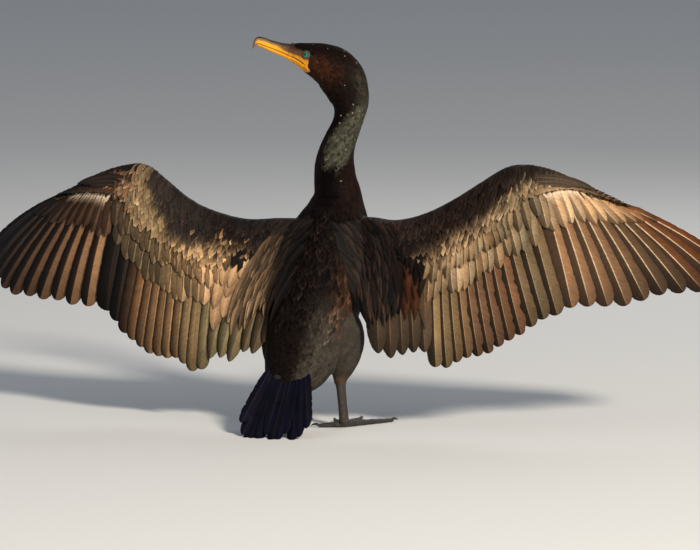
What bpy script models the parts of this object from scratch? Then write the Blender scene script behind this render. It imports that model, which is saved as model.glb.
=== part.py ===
"""A double-crested cormorant standing with its wings held out to dry, at life size.

Metres, +Z up. The breast faces +Y, the bird's right wing lies towards +X, and the floor is at Z = 0. The neck
turns so that the bill points to the bird's left.
"""

import math
import random

import bmesh
import bpy
from mathutils import Matrix, Vector

GAP = 0.0003
VANE = 0.0008
# How far the low edge of a feather that lies on the floor is pressed flat.
FLOOR_BITE = -0.0002
SEED = 11

# Half the overall width and depth are measured from this point on the floor, which becomes the origin.
BOX_CENTRE = Vector((-0.013, 0.0282, 0))

# Trunk stations from the tail's root to the base of the neck: centre, half width, half depth.
TRUNK = (
    ((-0.043, -0.046, 0.045), 0.015, 0.007),
    ((-0.043, -0.026, 0.058), 0.023, 0.014),
    ((-0.041, -0.011, 0.069), 0.037, 0.026),
    ((-0.037, 0.010, 0.088), 0.049, 0.041),
    ((-0.032, 0.031, 0.119), 0.057, 0.054),
    ((-0.028, 0.053, 0.156), 0.063, 0.061),
    ((-0.025, 0.073, 0.195), 0.065, 0.063),
    ((-0.022, 0.091, 0.230), 0.063, 0.061),
    ((-0.018, 0.105, 0.263), 0.058, 0.055),
    ((-0.015, 0.114, 0.287), 0.049, 0.048),
    ((-0.014, 0.119, 0.305), 0.040, 0.041),
)
# Neck stations from the trunk up to the nape.
NECK = (
    ((-0.014, 0.121, 0.322), 0.0335, 0.036),
    ((-0.016, 0.118, 0.341), 0.0300, 0.032),
    ((-0.015, 0.112, 0.363), 0.0280, 0.0285),
    ((-0.0105, 0.107, 0.382), 0.0250, 0.0255),
    ((-0.0035, 0.104, 0.400), 0.0225, 0.0225),
    ((0.0045, 0.104, 0.418), 0.0210, 0.0205),
    ((0.0090, 0.106, 0.435), 0.0212, 0.0220),
    ((0.0098, 0.108, 0.451), 0.0225, 0.0258),
)
# Head stations from the nape round to the root of the bill.
HEAD = (
    ((0.006, 0.109, 0.466), 0.0235, 0.0295),
    ((-0.002, 0.109, 0.484), 0.0240, 0.0325),
    ((-0.015, 0.108, 0.499), 0.0240, 0.0315),
    ((-0.031, 0.106, 0.508), 0.0225, 0.0275),
    ((-0.047, 0.103, 0.514), 0.0190, 0.0225),
    ((-0.061, 0.100, 0.519), 0.0135, 0.0170),
    ((-0.073, 0.098, 0.5225), 0.0095, 0.0130),
)
BODY_SIDES = 24
TRUNK_END = len(TRUNK) - 0.5
NECK_SPLIT = len(TRUNK) + 3.6
NECK_END = len(TRUNK) + len(NECK) + 0.1
HEAD_END = len(TRUNK) + len(NECK) + len(HEAD) - 1
TRUNK_RINGS, NECK_RINGS, HEAD_RINGS = 14, 8, 14
# Which way the back faces along the body: behind the bird on the trunk, to its right at the nape, up at the crown.
DORSAL = (
    (0, (-0.1, -1.0, 0.45)),
    (len(TRUNK) + 1, (0.0, -1.0, 0.25)),
    (len(TRUNK) + 4.5, (0.7, -0.75, 0.1)),
    (len(TRUNK) + len(NECK) - 1, (1.0, 0.15, 0.15)),
    (len(TRUNK) + len(NECK) + 2, (0.6, 0.15, 0.9)),
    (HEAD_END, (0.15, 0.05, 1.0)),
)

# The bill, as the height of its ridge, mouth line and underside at stations from its root to its tip.
BILL_ROOT = Vector((-0.0735, 0.098, 0))
BILL_TIP = Vector((-0.1275, 0.084, 0))
BILL_RIDGE = (
    (0.0, 0.5335), (0.25, 0.5350), (0.5, 0.5385), (0.72, 0.5430), (0.84, 0.5440), (0.93, 0.5415), (1.0, 0.5365),
)
BILL_MOUTH = (
    (0.0, 0.5155), (0.25, 0.5215), (0.5, 0.5270), (0.72, 0.5315), (0.84, 0.5335), (0.93, 0.5325), (1.0, 0.5290),
)
BILL_UNDER = ((0.0, 0.5085), (0.25, 0.5155), (0.5, 0.5215), (0.72, 0.5270), (0.86, 0.5300))
BILL_HALF_WIDTH = ((0.0, 0.0088), (0.25, 0.0065), (0.5, 0.0052), (0.75, 0.0047), (0.9, 0.0038), (1.0, 0.0012))
# The jaws start this share of the bill's length inside the head, and the lower one is narrower and ends sooner.
BILL_START, LOWER_JAW_END, LOWER_JAW_WIDTH = -0.08, 0.86, 0.92
BILL_RINGS, BILL_SIDES, BILL_ROUNDNESS = 9, 9, 0.8
# The bare throat skin is the part of the head inside this outline, as x and height. It starts at the mouth line.
THROAT = ((-0.084, 0.5211), (-0.0505, 0.5010), (-0.0440, 0.4900), (-0.060, 0.478), (-0.084, 0.495))
THROAT_GROWTH = 1.036

EYE_STATION = len(TRUNK) + len(NECK) + 4.15
EYE_RISE, EYE_DEPTH = 0.0045, 0.0053
EYE_RADIUS = 0.0070
# How far each eye looks forward and up, as shares of its outward direction.
EYE_FORWARD, EYE_UPWARD = 0.30, 0.15
LID_RADIUS, LID_TUBE = 0.0052, 0.0009
LID_STEPS, LID_SIDES = 16, 6

# Each wing is set out by numbered flight feathers, from the body outwards: five humerals, twelve secondaries and
# ten primaries. A key gives the leading edge, the feather root and the feather tip at that number.
HUMERALS, SECONDARIES, PRIMARIES = 5, 12, 10
FIRST_SECONDARY = HUMERALS
FIRST_PRIMARY = HUMERALS + SECONDARIES
LAST_PRIMARY = FIRST_PRIMARY + PRIMARIES - 1
RIGHT_LEADING = (
    (-3, (0.004, 0.112, 0.290)), (0, (0.044, 0.112, 0.290)), (2, (0.076, 0.112, 0.287)), (4, (0.114, 0.109, 0.296)),
    (8, (0.161, 0.103, 0.319)), (11, (0.200, 0.097, 0.343)), (14, (0.241, 0.092, 0.368)), (16, (0.267, 0.090, 0.374)),
    (18, (0.303, 0.095, 0.369)), (21, (0.343, 0.105, 0.352)), (24, (0.384, 0.118, 0.331)), (27, (0.418, 0.130, 0.312)),
)
RIGHT_ROOTS = (
    (-3, (0.012, 0.088, 0.238)), (0, (0.052, 0.080, 0.240)), (2, (0.086, 0.076, 0.234)), (4, (0.124, 0.066, 0.227)),
    (5, (0.146, 0.062, 0.226)), (10, (0.199, 0.066, 0.255)), (14, (0.244, 0.070, 0.288)), (16, (0.276, 0.074, 0.314)),
    (17, (0.298, 0.078, 0.328)), (20, (0.334, 0.090, 0.335)), (23, (0.364, 0.102, 0.328)), (27, (0.403, 0.119, 0.315)),
)
RIGHT_TIPS = (
    (-3, (0.036, 0.006, 0.130)), (0, (0.082, 0.012, 0.112)), (2, (0.116, 0.019, 0.103)), (4, (0.146, 0.025, 0.110)),
    (5, (0.161, 0.028, 0.092)), (8, (0.207, 0.030, 0.103)), (12, (0.267, 0.034, 0.131)), (16, (0.331, 0.042, 0.173)),
    (17, (0.352, 0.048, 0.180)), (20, (0.421, 0.080, 0.183)), (22.5, (0.480, 0.112, 0.199)),
    (24, (0.517, 0.137, 0.199)), (25, (0.527, 0.156, 0.218)), (26, (0.530, 0.175, 0.238)),
)
LEFT_LEADING = (
    (-3, (-0.034, 0.112, 0.284)), (0, (-0.066, 0.112, 0.285)), (2, (-0.098, 0.112, 0.285)), (4, (-0.142, 0.110, 0.283)),
    (8, (-0.199, 0.105, 0.297)), (11, (-0.232, 0.100, 0.315)), (14, (-0.264, 0.094, 0.342)),
    (16, (-0.288, 0.090, 0.359)), (18, (-0.322, 0.095, 0.357)), (21, (-0.368, 0.108, 0.342)),
    (24, (-0.412, 0.122, 0.320)), (27, (-0.448, 0.135, 0.303)),
)
LEFT_ROOTS = (
    (-3, (-0.040, 0.088, 0.236)), (0, (-0.070, 0.080, 0.236)), (2, (-0.104, 0.075, 0.228)),
    (4, (-0.152, 0.064, 0.215)), (5, (-0.182, 0.062, 0.211)), (8, (-0.226, 0.065, 0.224)),
    (12, (-0.266, 0.068, 0.246)), (14, (-0.290, 0.070, 0.262)), (16, (-0.320, 0.074, 0.290)),
    (17, (-0.340, 0.078, 0.307)), (20, (-0.374, 0.090, 0.311)), (23, (-0.405, 0.103, 0.307)),
    (27, (-0.440, 0.121, 0.300)),
)
LEFT_TIPS = (
    (-3, (-0.066, 0.004, 0.128)), (0, (-0.103, 0.009, 0.104)), (2, (-0.140, 0.018, 0.092)),
    (4, (-0.172, 0.025, 0.090)), (5, (-0.187, 0.028, 0.072)), (8, (-0.225, 0.030, 0.088)),
    (12, (-0.279, 0.034, 0.103)), (16, (-0.334, 0.042, 0.150)), (17, (-0.366, 0.048, 0.156)),
    (20, (-0.449, 0.080, 0.162)), (23, (-0.524, 0.120, 0.172)), (26, (-0.556, 0.175, 0.227)),
)
# Thickness of the fleshy wing along the feather numbers, and its section as shares of chord and half thickness.
WING_THICKNESS = ((-3, 0.034), (2, 0.028), (8, 0.021), (16, 0.017), (21, 0.010), (27, 0.006))
WING_SECTION = ((0.0, 0.22), (0.08, 0.72), (0.28, 1.0), (0.6, 0.74), (0.92, 0.40), (1.10, 0.16))
CORE_STATIONS = (-3, -1, 1, 3, 5, 7, 9, 11, 13, 15, 16.4, 18, 20, 22, 24, 26, 27)

# Vane outlines, as shares of the length and of the full width.
SECONDARY_OUTLINE = ((0.0, 0.30), (0.28, 1.0), (0.82, 1.0), (0.955, 0.74), (1.0, 0.24))
PRIMARY_OUTLINE = ((0.0, 0.30), (0.28, 1.0), (0.78, 0.98), (0.94, 0.68), (1.0, 0.20))
COVERT_OUTLINE = ((0.0, 0.44), (0.40, 1.0), (0.80, 0.84), (1.0, 0.22))
# Full widths of the flight feathers along the wing, and how far each bows up and is turned about its shaft.
FLIGHT_WIDTH = ((0, 0.030), (4, 0.027), (5, 0.021), (14, 0.023), (16, 0.028), (17, 0.033), (18, 0.028),
                (26, 0.019))
FLIGHT_START = 0.82
CAMBER = 0.035
LOUVRE = ((0, math.radians(6.5)), (18, math.radians(6.5)), (26, math.radians(13)))
# Tiers of coverts, over one another from the leading edge backwards: first and last feather number, how many, where
# they are rooted and where they end behind the flight feathers' roots, width, and height above the sheet below.
TIERS = (
    (17.0, 25.8, 7, -0.016, 0.042, 0.019, 0.0034),
    (5.0, 16.6, 11, -0.012, 0.055, 0.022, 0.0028),
    (5.4, 16.0, 9, -0.030, 0.024, 0.023, 0.0050),
    (-0.6, 4.2, 5, -0.016, 0.090, 0.028, 0.0044),
    (-0.9, 3.9, 5, -0.036, 0.045, 0.028, 0.0078),
)
SHEET_FADE = 0.02
# Each covert starts this far under the surface it is rooted in and has come clear of it by this share of its length.
COVERT_SINK, COVERT_CLEAR = 0.0012, 0.4
FLIGHT_VARIETY, COVERT_VARIETY = 0.012, 0.002

TAIL_ROOT = Vector((-0.042, -0.004, 0.098))
TAIL_TIPS = (
    (0, (-0.087, -0.092, 0.016)), (2, (-0.075, -0.106, -0.010)), (5, (-0.045, -0.118, -0.010)),
    (7, (-0.026, -0.117, -0.010)), (9, (-0.006, -0.110, -0.010)), (11, (0.012, -0.094, 0.012)),
)
TAIL_FEATHERS, TAIL_WIDTH, TAIL_LOUVRE = 12, 0.021, math.radians(12)
TAIL_ROOT_SPREAD = 0.021
TAIL_OUTLINE = ((0.0, 0.24), (0.24, 0.70), (0.50, 1.0), (0.86, 1.0), (0.96, 0.72), (1.0, 0.24))
TAIL_COVERTS, TAIL_COVERT_SHARE, TAIL_COVERT_WIDTH = 7, 0.41, 0.018
TAIL_COVERT_STEP, TAIL_COVERT_RISE = 0.0052, 0.008
# The tail's fleshy root: distance along the tail, half width and half height.
TAIL_CORE = ((-0.030, 0.016, 0.012), (0.0, 0.024, 0.014), (0.022, 0.023, 0.010), (0.042, 0.020, 0.004))
TAIL_CORE_SIDES = 14
# Feathers and coverts are rooted this far behind and before the tail's root.
TAIL_SINK = 0.004

# Leg joints on the right side, mirrored about the hip's own middle plane for the left.
HIP_MIDDLE = -0.026
SHANK = (
    ((0.002, 0.048, 0.168), 0.026), ((0.018, 0.048, 0.132), 0.0295), ((0.020, 0.042, 0.104), 0.0265),
    ((0.020, 0.037, 0.084), 0.0185), ((0.019, 0.034, 0.069), 0.0100),
)
HOCK = Vector((0.019, 0.034, 0.065))
ANKLE = Vector((0.0225, 0.040, 0.0085))
# Toe name, heading from straight ahead in degrees (towards the outer side), and length.
TOES = (("hallux", -108, 0.036), ("inner", -32, 0.052), ("middle", 0, 0.076), ("outer", 31, 0.090))
# Share of the toe's length, height of its middle there, and its radius, a little more than the height.
TOE_HEIGHTS = ((0.0, 0.0062), (0.10, 0.0045), (0.32, 0.0036), (0.60, 0.0031), (0.86, 0.0022), (1.0, 0.0022))
TOE_RADII = (0.0056, 0.0050, 0.0042, 0.0037, 0.0030, 0.0027)
CLAW_LENGTH = 0.011
# Share of the claw's length, rise of its middle and its radius.
CLAW_SHAPE = ((0, 0.0006, 0.0022), (0.4, 0.0010, 0.0018), (0.75, 0.0002, 0.0011), (1.0, -0.0010, 0.0003))
TOE_SIDES, CLAW_SIDES = 8, 6
TARSUS_POINTS, TARSUS_RADII, TARSUS_DEPTH = (0.0, 0.012, 0.034), (0.0072, 0.0058, 0.0053, 0.0062), 1.35
SHANK_SIDES, TARSUS_SIDES = 16, 12
FOOT_TOP = 0.0128
WEB_THICKNESS, WEB_LIFT = 0.0012, 0.0006
# The web's rim runs between the claws in this many steps and sags towards the foot by this share of the way.
WEB_STEPS, WEB_SAG, WEB_REACH = 6, 0.20, 0.97
FOOT_PAD, FOOT_PAD_DROP = 0.0074, 0.0015

COLOURS = {
    "plumage": ((0.030, 0.021, 0.017), 0.6),
    "wing_plumage": ((0.105, 0.072, 0.045), 0.55),
    "tail_plumage": ((0.012, 0.014, 0.020), 0.45),
    "bill_horn": ((0.30, 0.19, 0.06), 0.4),
    "bare_skin": ((0.80, 0.36, 0.02), 0.5),
    "eye": ((0.02, 0.30, 0.22), 0.08),
    "leg_skin": ((0.028, 0.022, 0.019), 0.45),
    "claw_horn": ((0.015, 0.013, 0.012), 0.35),
}


def between(keys, at):
    """Smooth value at a number, from (number, value) keys. Values are numbers or 3D points."""
    keys = [(k, Vector(v) if isinstance(v, (tuple, Vector)) else v) for k, v in keys]
    if at <= keys[0][0] or at >= keys[-1][0]:
        near, far = (keys[0], keys[1]) if at <= keys[0][0] else (keys[-1], keys[-2])
        slope = (far[1] - near[1]) * (1 / (far[0] - near[0]))
        return near[1] + slope * (at - near[0])
    i = max(n for n in range(len(keys) - 1) if keys[n][0] <= at)
    (k0, v0), (k1, v1) = keys[i], keys[i + 1]

    def slope_at(n):
        low, high = max(n - 1, 0), min(n + 1, len(keys) - 1)
        return (keys[high][1] - keys[low][1]) * (1 / (keys[high][0] - keys[low][0]))

    step = k1 - k0
    t = (at - k0) / step
    blend = t * t * (3 - 2 * t)
    ease_in, ease_out = t * (1 - t) ** 2 * step, -t * t * (1 - t) * step
    return v0 + (v1 - v0) * blend + slope_at(i) * ease_in + slope_at(i + 1) * ease_out


def material(name):
    colour, roughness = COLOURS[name]
    made = bpy.data.materials.get(name) or bpy.data.materials.new(name)
    made.use_nodes = True
    shader = made.node_tree.nodes["Principled BSDF"]
    shader.inputs["Base Color"].default_value = (*colour, 1)
    shader.inputs["Roughness"].default_value = roughness
    shader.inputs["Metallic"].default_value = 0.0
    return made


def collection(name, helper=False):
    made = bpy.data.collections.new(name)
    made.hide_render = helper
    bpy.context.scene.collection.children.link(made)
    return made


def put(name, bm, group, finish=None):
    """A mesh object made from a bmesh, which is freed."""
    bmesh.ops.recalc_face_normals(bm, faces=bm.faces)
    mesh = bpy.data.meshes.new(name)
    bm.to_mesh(mesh)
    bm.free()
    made = bpy.data.objects.new(name, mesh)
    group.objects.link(made)
    if finish:
        mesh.materials.append(material(finish))
        mesh.shade_smooth()
        mesh.set_sharp_from_angle(angle=math.radians(40))
    return made


def loft(rings):
    """A closed body through rings of as many points each, with flat ends."""
    bm = bmesh.new()
    rows = [[bm.verts.new(p) for p in ring] for ring in rings]
    sides = len(rows[0])
    for near, far in zip(rows, rows[1:]):
        for i in range(sides):
            j = (i + 1) % sides
            bm.faces.new((near[i], near[j], far[j]))
            bm.faces.new((near[i], far[j], far[i]))
    bm.faces.new(rows[0])
    bm.faces.new(rows[-1][::-1])
    return bm


def ellipse(centre, across, up, half_width, half_height, sides):
    turns = [2 * math.pi * i / sides for i in range(sides)]
    return [centre + across * (half_width * math.cos(a)) + up * (half_height * math.sin(a)) for a in turns]


def tube(points, radii, sides, up=Vector((0, 0, 1)), flatten=1.0):
    """A closed tapering tube through points, its height a share of its width."""
    rings = []
    for i, (point, radius) in enumerate(zip(points, radii)):
        ahead = points[min(i + 1, len(points) - 1)] - points[max(i - 1, 0)]
        across = ahead.cross(up).normalized()
        rings.append(ellipse(point, across, across.cross(ahead).normalized(), radius, radius * flatten, sides))
    return loft(rings)


def add_vane(bm, line, sides, normals, width, outline, tilt):
    """A thin plate along a line of points, split into like triangles above and below. None of it is under the floor."""
    rows = []
    for point, side, normal, (_, share) in zip(line, sides, normals, outline):
        edge = (side * math.cos(tilt) + normal * math.sin(tilt)) * (width * share / 2)
        through = (normal * math.cos(tilt) - side * math.sin(tilt)) * (VANE / 2)
        corners = (point - edge + through, point + edge + through, point + edge - through, point - edge - through)
        sunk = FLOOR_BITE - min(c.z for c in corners)
        if sunk > 0:
            corners = [c + Vector((0, 0, sunk)) for c in corners]
        rows.append([bm.verts.new((c.x, c.y, max(c.z, 0))) for c in corners])
    for near, far in zip(rows, rows[1:]):
        for a, b in ((0, 1), (3, 2), (1, 2), (0, 3)):
            bm.faces.new((near[a], near[b], far[b]))
            bm.faces.new((near[a], far[b], far[a]))
    bm.faces.new(rows[0])
    bm.faces.new(rows[-1])


def evaluated(thing):
    """The object's mesh with its modifiers applied, as new data."""
    graph = bpy.context.evaluated_depsgraph_get()
    return bpy.data.meshes.new_from_object(thing.evaluated_get(graph))


def keep_largest(mesh):
    """Removes all but the connected surface with the most volume."""
    bm = bmesh.new()
    bm.from_mesh(mesh)
    left = set(bm.verts)
    shells = []
    while left:
        shell, front = set(), [left.pop()]
        while front:
            vert = front.pop()
            shell.add(vert)
            for edge in vert.link_edges:
                other = edge.other_vert(vert)
                if other in left:
                    left.discard(other)
                    front.append(other)
        shells.append(shell)

    def extent(shell):
        corners = [[v.co[axis] for v in shell] for axis in range(3)]
        return math.prod(max(c) - min(c) for c in corners)

    biggest = max(shells, key=extent)
    bmesh.ops.delete(bm, geom=[v for v in bm.verts if v not in biggest], context="VERTS")
    bm.to_mesh(mesh)
    bm.free()


def boolean(thing, others, operation, solver="EXACT"):
    """Joins others to a thing, or cuts them from it, and removes them."""
    tools = bpy.data.collections.new("tools")
    for other in others:
        for group in other.users_collection:
            group.objects.unlink(other)
        tools.objects.link(other)
    bpy.context.scene.collection.children.link(tools)
    modifier = thing.modifiers.new("join", "BOOLEAN")
    modifier.operation = operation
    modifier.solver = solver
    modifier.operand_type = "COLLECTION"
    modifier.collection = tools
    made = evaluated(thing)
    thing.modifiers.remove(modifier)
    keep_largest(made)
    old = thing.data
    thing.data = made
    bpy.data.meshes.remove(old)
    for other in others:
        bpy.data.objects.remove(other)
    bpy.data.collections.remove(tools)


def body_frame(at):
    """Centre, tangent, side and back directions, half width and half depth along the body."""
    stations = TRUNK + NECK + HEAD
    centres = [(i, s[0]) for i, s in enumerate(stations)]
    step = 0.05
    tangent = (between(centres, at + step) - between(centres, at - step)).normalized()
    back = between(DORSAL, at)
    back = (back - tangent * back.dot(tangent)).normalized()
    half_width = between([(i, s[1]) for i, s in enumerate(stations)], at)
    half_depth = between([(i, s[2]) for i, s in enumerate(stations)], at)
    return between(centres, at), tangent, tangent.cross(back), back, half_width, half_depth


def body_ring(at, shift=0.0, grow=0.0):
    """The body's section at a station, moved along the body by shift and swollen by grow."""
    centre, tangent, side, back, half_width, half_depth = body_frame(at)
    return ellipse(centre + tangent * shift, side, back, half_width + grow, half_depth + grow, BODY_SIDES)


def body_length(first, last, rings, grow=0.0):
    """A length of the body between two stations, short of its neighbours by half a gap."""
    steps = [first + (last - first) * i / (rings - 1) for i in range(rings)]
    end = GAP / 2 - grow
    shifts = [end] + [0.0] * (rings - 2) + [-end]
    return loft([body_ring(at, shift, grow) for at, shift in zip(steps, shifts)])


def trunk_mesh(grow=0.0):
    return body_length(0, TRUNK_END, TRUNK_RINGS, grow)


def bill_point(along, height):
    flat = BILL_ROOT.lerp(BILL_TIP, along)
    return Vector((flat.x, flat.y, height))


def bill_half(name, group, top, bottom, last):
    """One jaw, lofted between its top and bottom heights, rounded on its outer side and flat along the mouth."""
    across = (BILL_TIP - BILL_ROOT).cross(Vector((0, 0, 1))).normalized()
    upper = name == "bill_upper"
    rings = []
    for i in range(BILL_RINGS):
        along = BILL_START + (last - BILL_START) * i / (BILL_RINGS - 1)
        high, low = between(top, along), between(bottom, along)
        width = between(BILL_HALF_WIDTH, along) * (1.0 if upper else LOWER_JAW_WIDTH)
        outer, inner = (high, low + GAP / 2) if upper else (low, high - GAP / 2)
        ring = []
        for turn in range(BILL_SIDES):
            angle = math.pi * turn / (BILL_SIDES - 1)
            height = inner + (outer - inner) * math.sin(angle) ** BILL_ROUNDNESS
            ring.append(bill_point(along, height) + across * (width * math.cos(angle)))
        rings.append(ring)
    return put(name, loft(rings), group, "bill_horn")


def eye_frames():
    """Centre and outward direction of each eye."""
    centre, ahead, side, back, half_width, _ = body_frame(EYE_STATION)
    frames = {}
    for name, sign in (("left", -1), ("right", 1)):
        out = side * sign
        middle = centre + out * (half_width - EYE_DEPTH) + back * EYE_RISE
        frames[name] = (middle, (out + ahead * EYE_FORWARD + back * EYE_UPWARD).normalized())
    return frames


def ball(centre, radius, u=12, v=8):
    bm = bmesh.new()
    bmesh.ops.create_uvsphere(bm, u_segments=u, v_segments=v, radius=radius)
    bmesh.ops.translate(bm, verts=bm.verts, vec=centre)
    return bm


def lid_ring(centre, outward):
    """A thin ring of bare skin around an eye."""
    around = outward.to_track_quat("Z", "Y").to_matrix()
    middle = centre + outward * math.sqrt(EYE_RADIUS ** 2 - (LID_RADIUS - LID_TUBE / 2) ** 2)
    bm = bmesh.new()
    rows = []
    for i in range(LID_STEPS):
        turn = 2 * math.pi * i / LID_STEPS
        out = around @ Vector((math.cos(turn), math.sin(turn), 0))
        ring = ellipse(middle + out * LID_RADIUS, out, outward, LID_TUBE, LID_TUBE, LID_SIDES)
        rows.append([bm.verts.new(p) for p in ring])
    for i, near in enumerate(rows):
        far = rows[(i + 1) % LID_STEPS]
        for j in range(LID_SIDES):
            k = (j + 1) % LID_SIDES
            bm.faces.new((near[j], near[k], far[k], far[j]))
    return bm


def throat_block(growth):
    """The block that parts the bare throat skin from the head."""
    forward = BILL_TIP - BILL_ROOT
    across = forward.cross(Vector((0, 0, 1))).normalized() * 0.03
    middle = Vector((sum(x for x, _ in THROAT), 0, sum(z for _, z in THROAT))) / len(THROAT)
    outline = []
    for x, z in THROAT:
        point = middle + (Vector((x, 0, z)) - middle) * growth
        point.y = BILL_ROOT.y + forward.y * (point.x - BILL_ROOT.x) / forward.x
        outline.append(point)
    return loft([[p - across for p in outline], [p + across for p in outline]])


def make_head(group):
    head = put("head", body_length(NECK_END, HEAD_END, HEAD_RINGS), group, "plumage")
    frames = eye_frames()
    boolean(head, [put("lid", lid_ring(*frame), group) for frame in frames.values()], "UNION")
    throat = put("throat_skin", body_length(NECK_END, HEAD_END, HEAD_RINGS), group, "bare_skin")
    sockets = [put("socket", ball(centre, EYE_RADIUS + GAP), group) for centre, _ in frames.values()]
    boolean(head, sockets + [put("block", throat_block(THROAT_GROWTH), group)], "DIFFERENCE")
    boolean(throat, [put("block", throat_block(1.0), group)], "INTERSECT")
    for side, (centre, _) in frames.items():
        put("eye_" + side, ball(centre, EYE_RADIUS), group, "eye")


def make_bill(group):
    """The two jaws, fitted against the front of the head."""
    for name, top, bottom, last in (("bill_upper", BILL_RIDGE, BILL_MOUTH, 1.0),
                                    ("bill_lower", BILL_MOUTH, BILL_UNDER, LOWER_JAW_END)):
        jaw = bill_half(name, group, top, bottom, last)
        boolean(jaw, [put("cut", body_length(NECK_END, HEAD_END, HEAD_RINGS, GAP), group)], "DIFFERENCE")


def wing_frame(wing, at):
    """Leading edge, feather root line and dorsal direction at a feather number."""
    lead, root = between(wing["leading"], at), between(wing["roots"], at)
    step = 0.5
    span = between(wing["leading"], at + step) + between(wing["roots"], at + step)
    span = (span - between(wing["leading"], at - step) - between(wing["roots"], at - step)).normalized()
    return lead, root, ((root - lead).cross(span) * wing["sign"]).normalized()


def on_wing(wing, at, chord, height):
    """A point at a share of the chord and a share of the core's half thickness."""
    lead, root, up = wing_frame(wing, at)
    half = between(WING_THICKNESS, at) / 2 * between(WING_SECTION, chord)
    return lead + (root - lead) * chord + up * (half * height)


def wing_core(wing):
    rings = []
    for at in CORE_STATIONS:
        upper = [on_wing(wing, at, c, 1) for c, _ in WING_SECTION]
        lower = [on_wing(wing, at, c, -1) for c, _ in WING_SECTION]
        rings.append(upper + lower[::-1])
    return loft(rings)


def flight_point(wing, at, share):
    """A point on the flight feathers' sheet, at a share of the way from root to tip."""
    lead, root, up = wing_frame(wing, at)
    start = lead + (root - lead) * FLIGHT_START
    tip = between(wing["tips"], at)
    return start.lerp(tip, share) + up * ((tip - start).length * CAMBER * 4 * share * (1 - share))


def covert_point(wing, at, back, lift):
    """A point a distance behind the roots of the flight feathers, lifted off the wing's upper side."""
    lead, root, up = wing_frame(wing, at)
    half = between(WING_THICKNESS, at) / 2
    if back <= 0:
        chord = max(1 + back / (root - lead).length, 0.02)
        return lead + (root - lead) * chord + up * (half * between(WING_SECTION, chord) + lift)
    start = lead + (root - lead) * FLIGHT_START
    length = (between(wing["tips"], at) - start).length
    share = (back + (1 - FLIGHT_START) * (root - lead).length) / length
    fade = math.exp(-back / SHEET_FADE)
    edge = half * between(WING_SECTION, 1.0) * fade
    on_core = root + up * edge
    return flight_point(wing, at, share).lerp(on_core, fade) + up * (lift + edge * (1 - fade))


def surface_vane(bm, place, at, shares, width, outline, sign):
    """A vane on a surface given by place(number along the wing, share of the vane's length)."""
    line, sides, normals = [], [], []
    for share in shares:
        along = (place(at, share + 0.02) - place(at, share - 0.02)).normalized()
        span = place(at + 0.3, share) - place(at - 0.3, share)
        normal = (along.cross(span) * sign).normalized()
        line.append(place(at, share))
        normals.append(normal)
        sides.append(normal.cross(along) * sign)
    add_vane(bm, line, sides, normals, width, outline, between(LOUVRE, at))


def make_wing(name, wing, group):
    """The fleshy wing with its flight feathers and coverts, each outer feather under the next one inwards."""
    core = put(name, wing_core(wing), group, "wing_plumage")
    rng = random.Random(SEED)
    vanes = []

    def vane(place, at, width, outline):
        bm = bmesh.new()
        surface_vane(bm, place, at, [share for share, _ in outline], width, outline, wing["sign"])
        vanes.append(put("vane", bm, group))

    for at in range(LAST_PRIMARY + 1):
        outline = PRIMARY_OUTLINE if at >= FIRST_PRIMARY else SECONDARY_OUTLINE
        reach = 1 + rng.uniform(-FLIGHT_VARIETY, FLIGHT_VARIETY)
        vane(lambda n, share: flight_point(wing, n, share * reach), at, between(FLIGHT_WIDTH, at), outline)
    for first, last, count, start, end, width, lift in TIERS:
        for i in range(count):
            at = first + (last - first) * i / (count - 1)
            reach = end + rng.uniform(-COVERT_VARIETY, COVERT_VARIETY)

            def place(n, share):
                height = -COVERT_SINK + (lift + COVERT_SINK) * min(share / COVERT_CLEAR, 1)
                return covert_point(wing, n, start + (reach - start) * share, height)

            vane(place, at, width, COVERT_OUTLINE)
    boolean(core, vanes, "UNION", "MANIFOLD")
    return core


def make_tail(group):
    """The tail's fleshy root with its fan of feathers, the middle ones uppermost, and the coverts over them."""
    middle = (TAIL_FEATHERS - 1) / 2
    ahead = (between(TAIL_TIPS, middle) - TAIL_ROOT).normalized()
    side = Vector((1, 0, 0))
    side = (side - ahead * side.dot(ahead)).normalized()
    up = side.cross(ahead).normalized()
    rings = [ellipse(TAIL_ROOT + ahead * s, side, up, w, h, TAIL_CORE_SIDES) for s, w, h in TAIL_CORE]
    core = put("tail", loft(rings), group, "tail_plumage")
    vanes = []

    def vane(root, tip, rise, width, outline, tilt):
        bm = bmesh.new()
        along = (tip - root).normalized()
        across = (side - along * side.dot(along)).normalized()
        normal = across.cross(along)
        line = [root.lerp(tip, share) + normal * (rise * min(share / 0.3, 1)) for share, _ in outline]
        count = len(outline)
        add_vane(bm, line, [across] * count, [normal] * count, width, outline, tilt)
        vanes.append(put("vane", bm, group))

    for i in range(TAIL_FEATHERS):
        out = i - middle
        root = TAIL_ROOT + side * (TAIL_ROOT_SPREAD * out / middle) + ahead * TAIL_SINK
        rise = 0.0010 if i == TAIL_FEATHERS // 2 else 0.0
        vane(root, between(TAIL_TIPS, i), rise, TAIL_WIDTH, TAIL_OUTLINE, math.copysign(TAIL_LOUVRE, out))
    for i in range(TAIL_COVERTS):
        out = i - (TAIL_COVERTS - 1) / 2
        root = TAIL_ROOT + side * (TAIL_COVERT_STEP * out) + up * TAIL_COVERT_RISE - ahead * TAIL_SINK
        tip = root.lerp(between(TAIL_TIPS, middle + out * 1.6), TAIL_COVERT_SHARE) + up * 0.001
        rise = 0.0035 + (0.0012 if out == 0 else 0.0)
        vane(root, tip, rise, TAIL_COVERT_WIDTH, COVERT_OUTLINE, math.copysign(TAIL_LOUVRE, out) if out else 0.0)
    boolean(core, vanes, "UNION", "MANIFOLD")
    return core


def flip(point, left):
    return Vector((2 * HIP_MIDDLE - point.x, point.y, point.z)) if left else point.copy()


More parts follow.
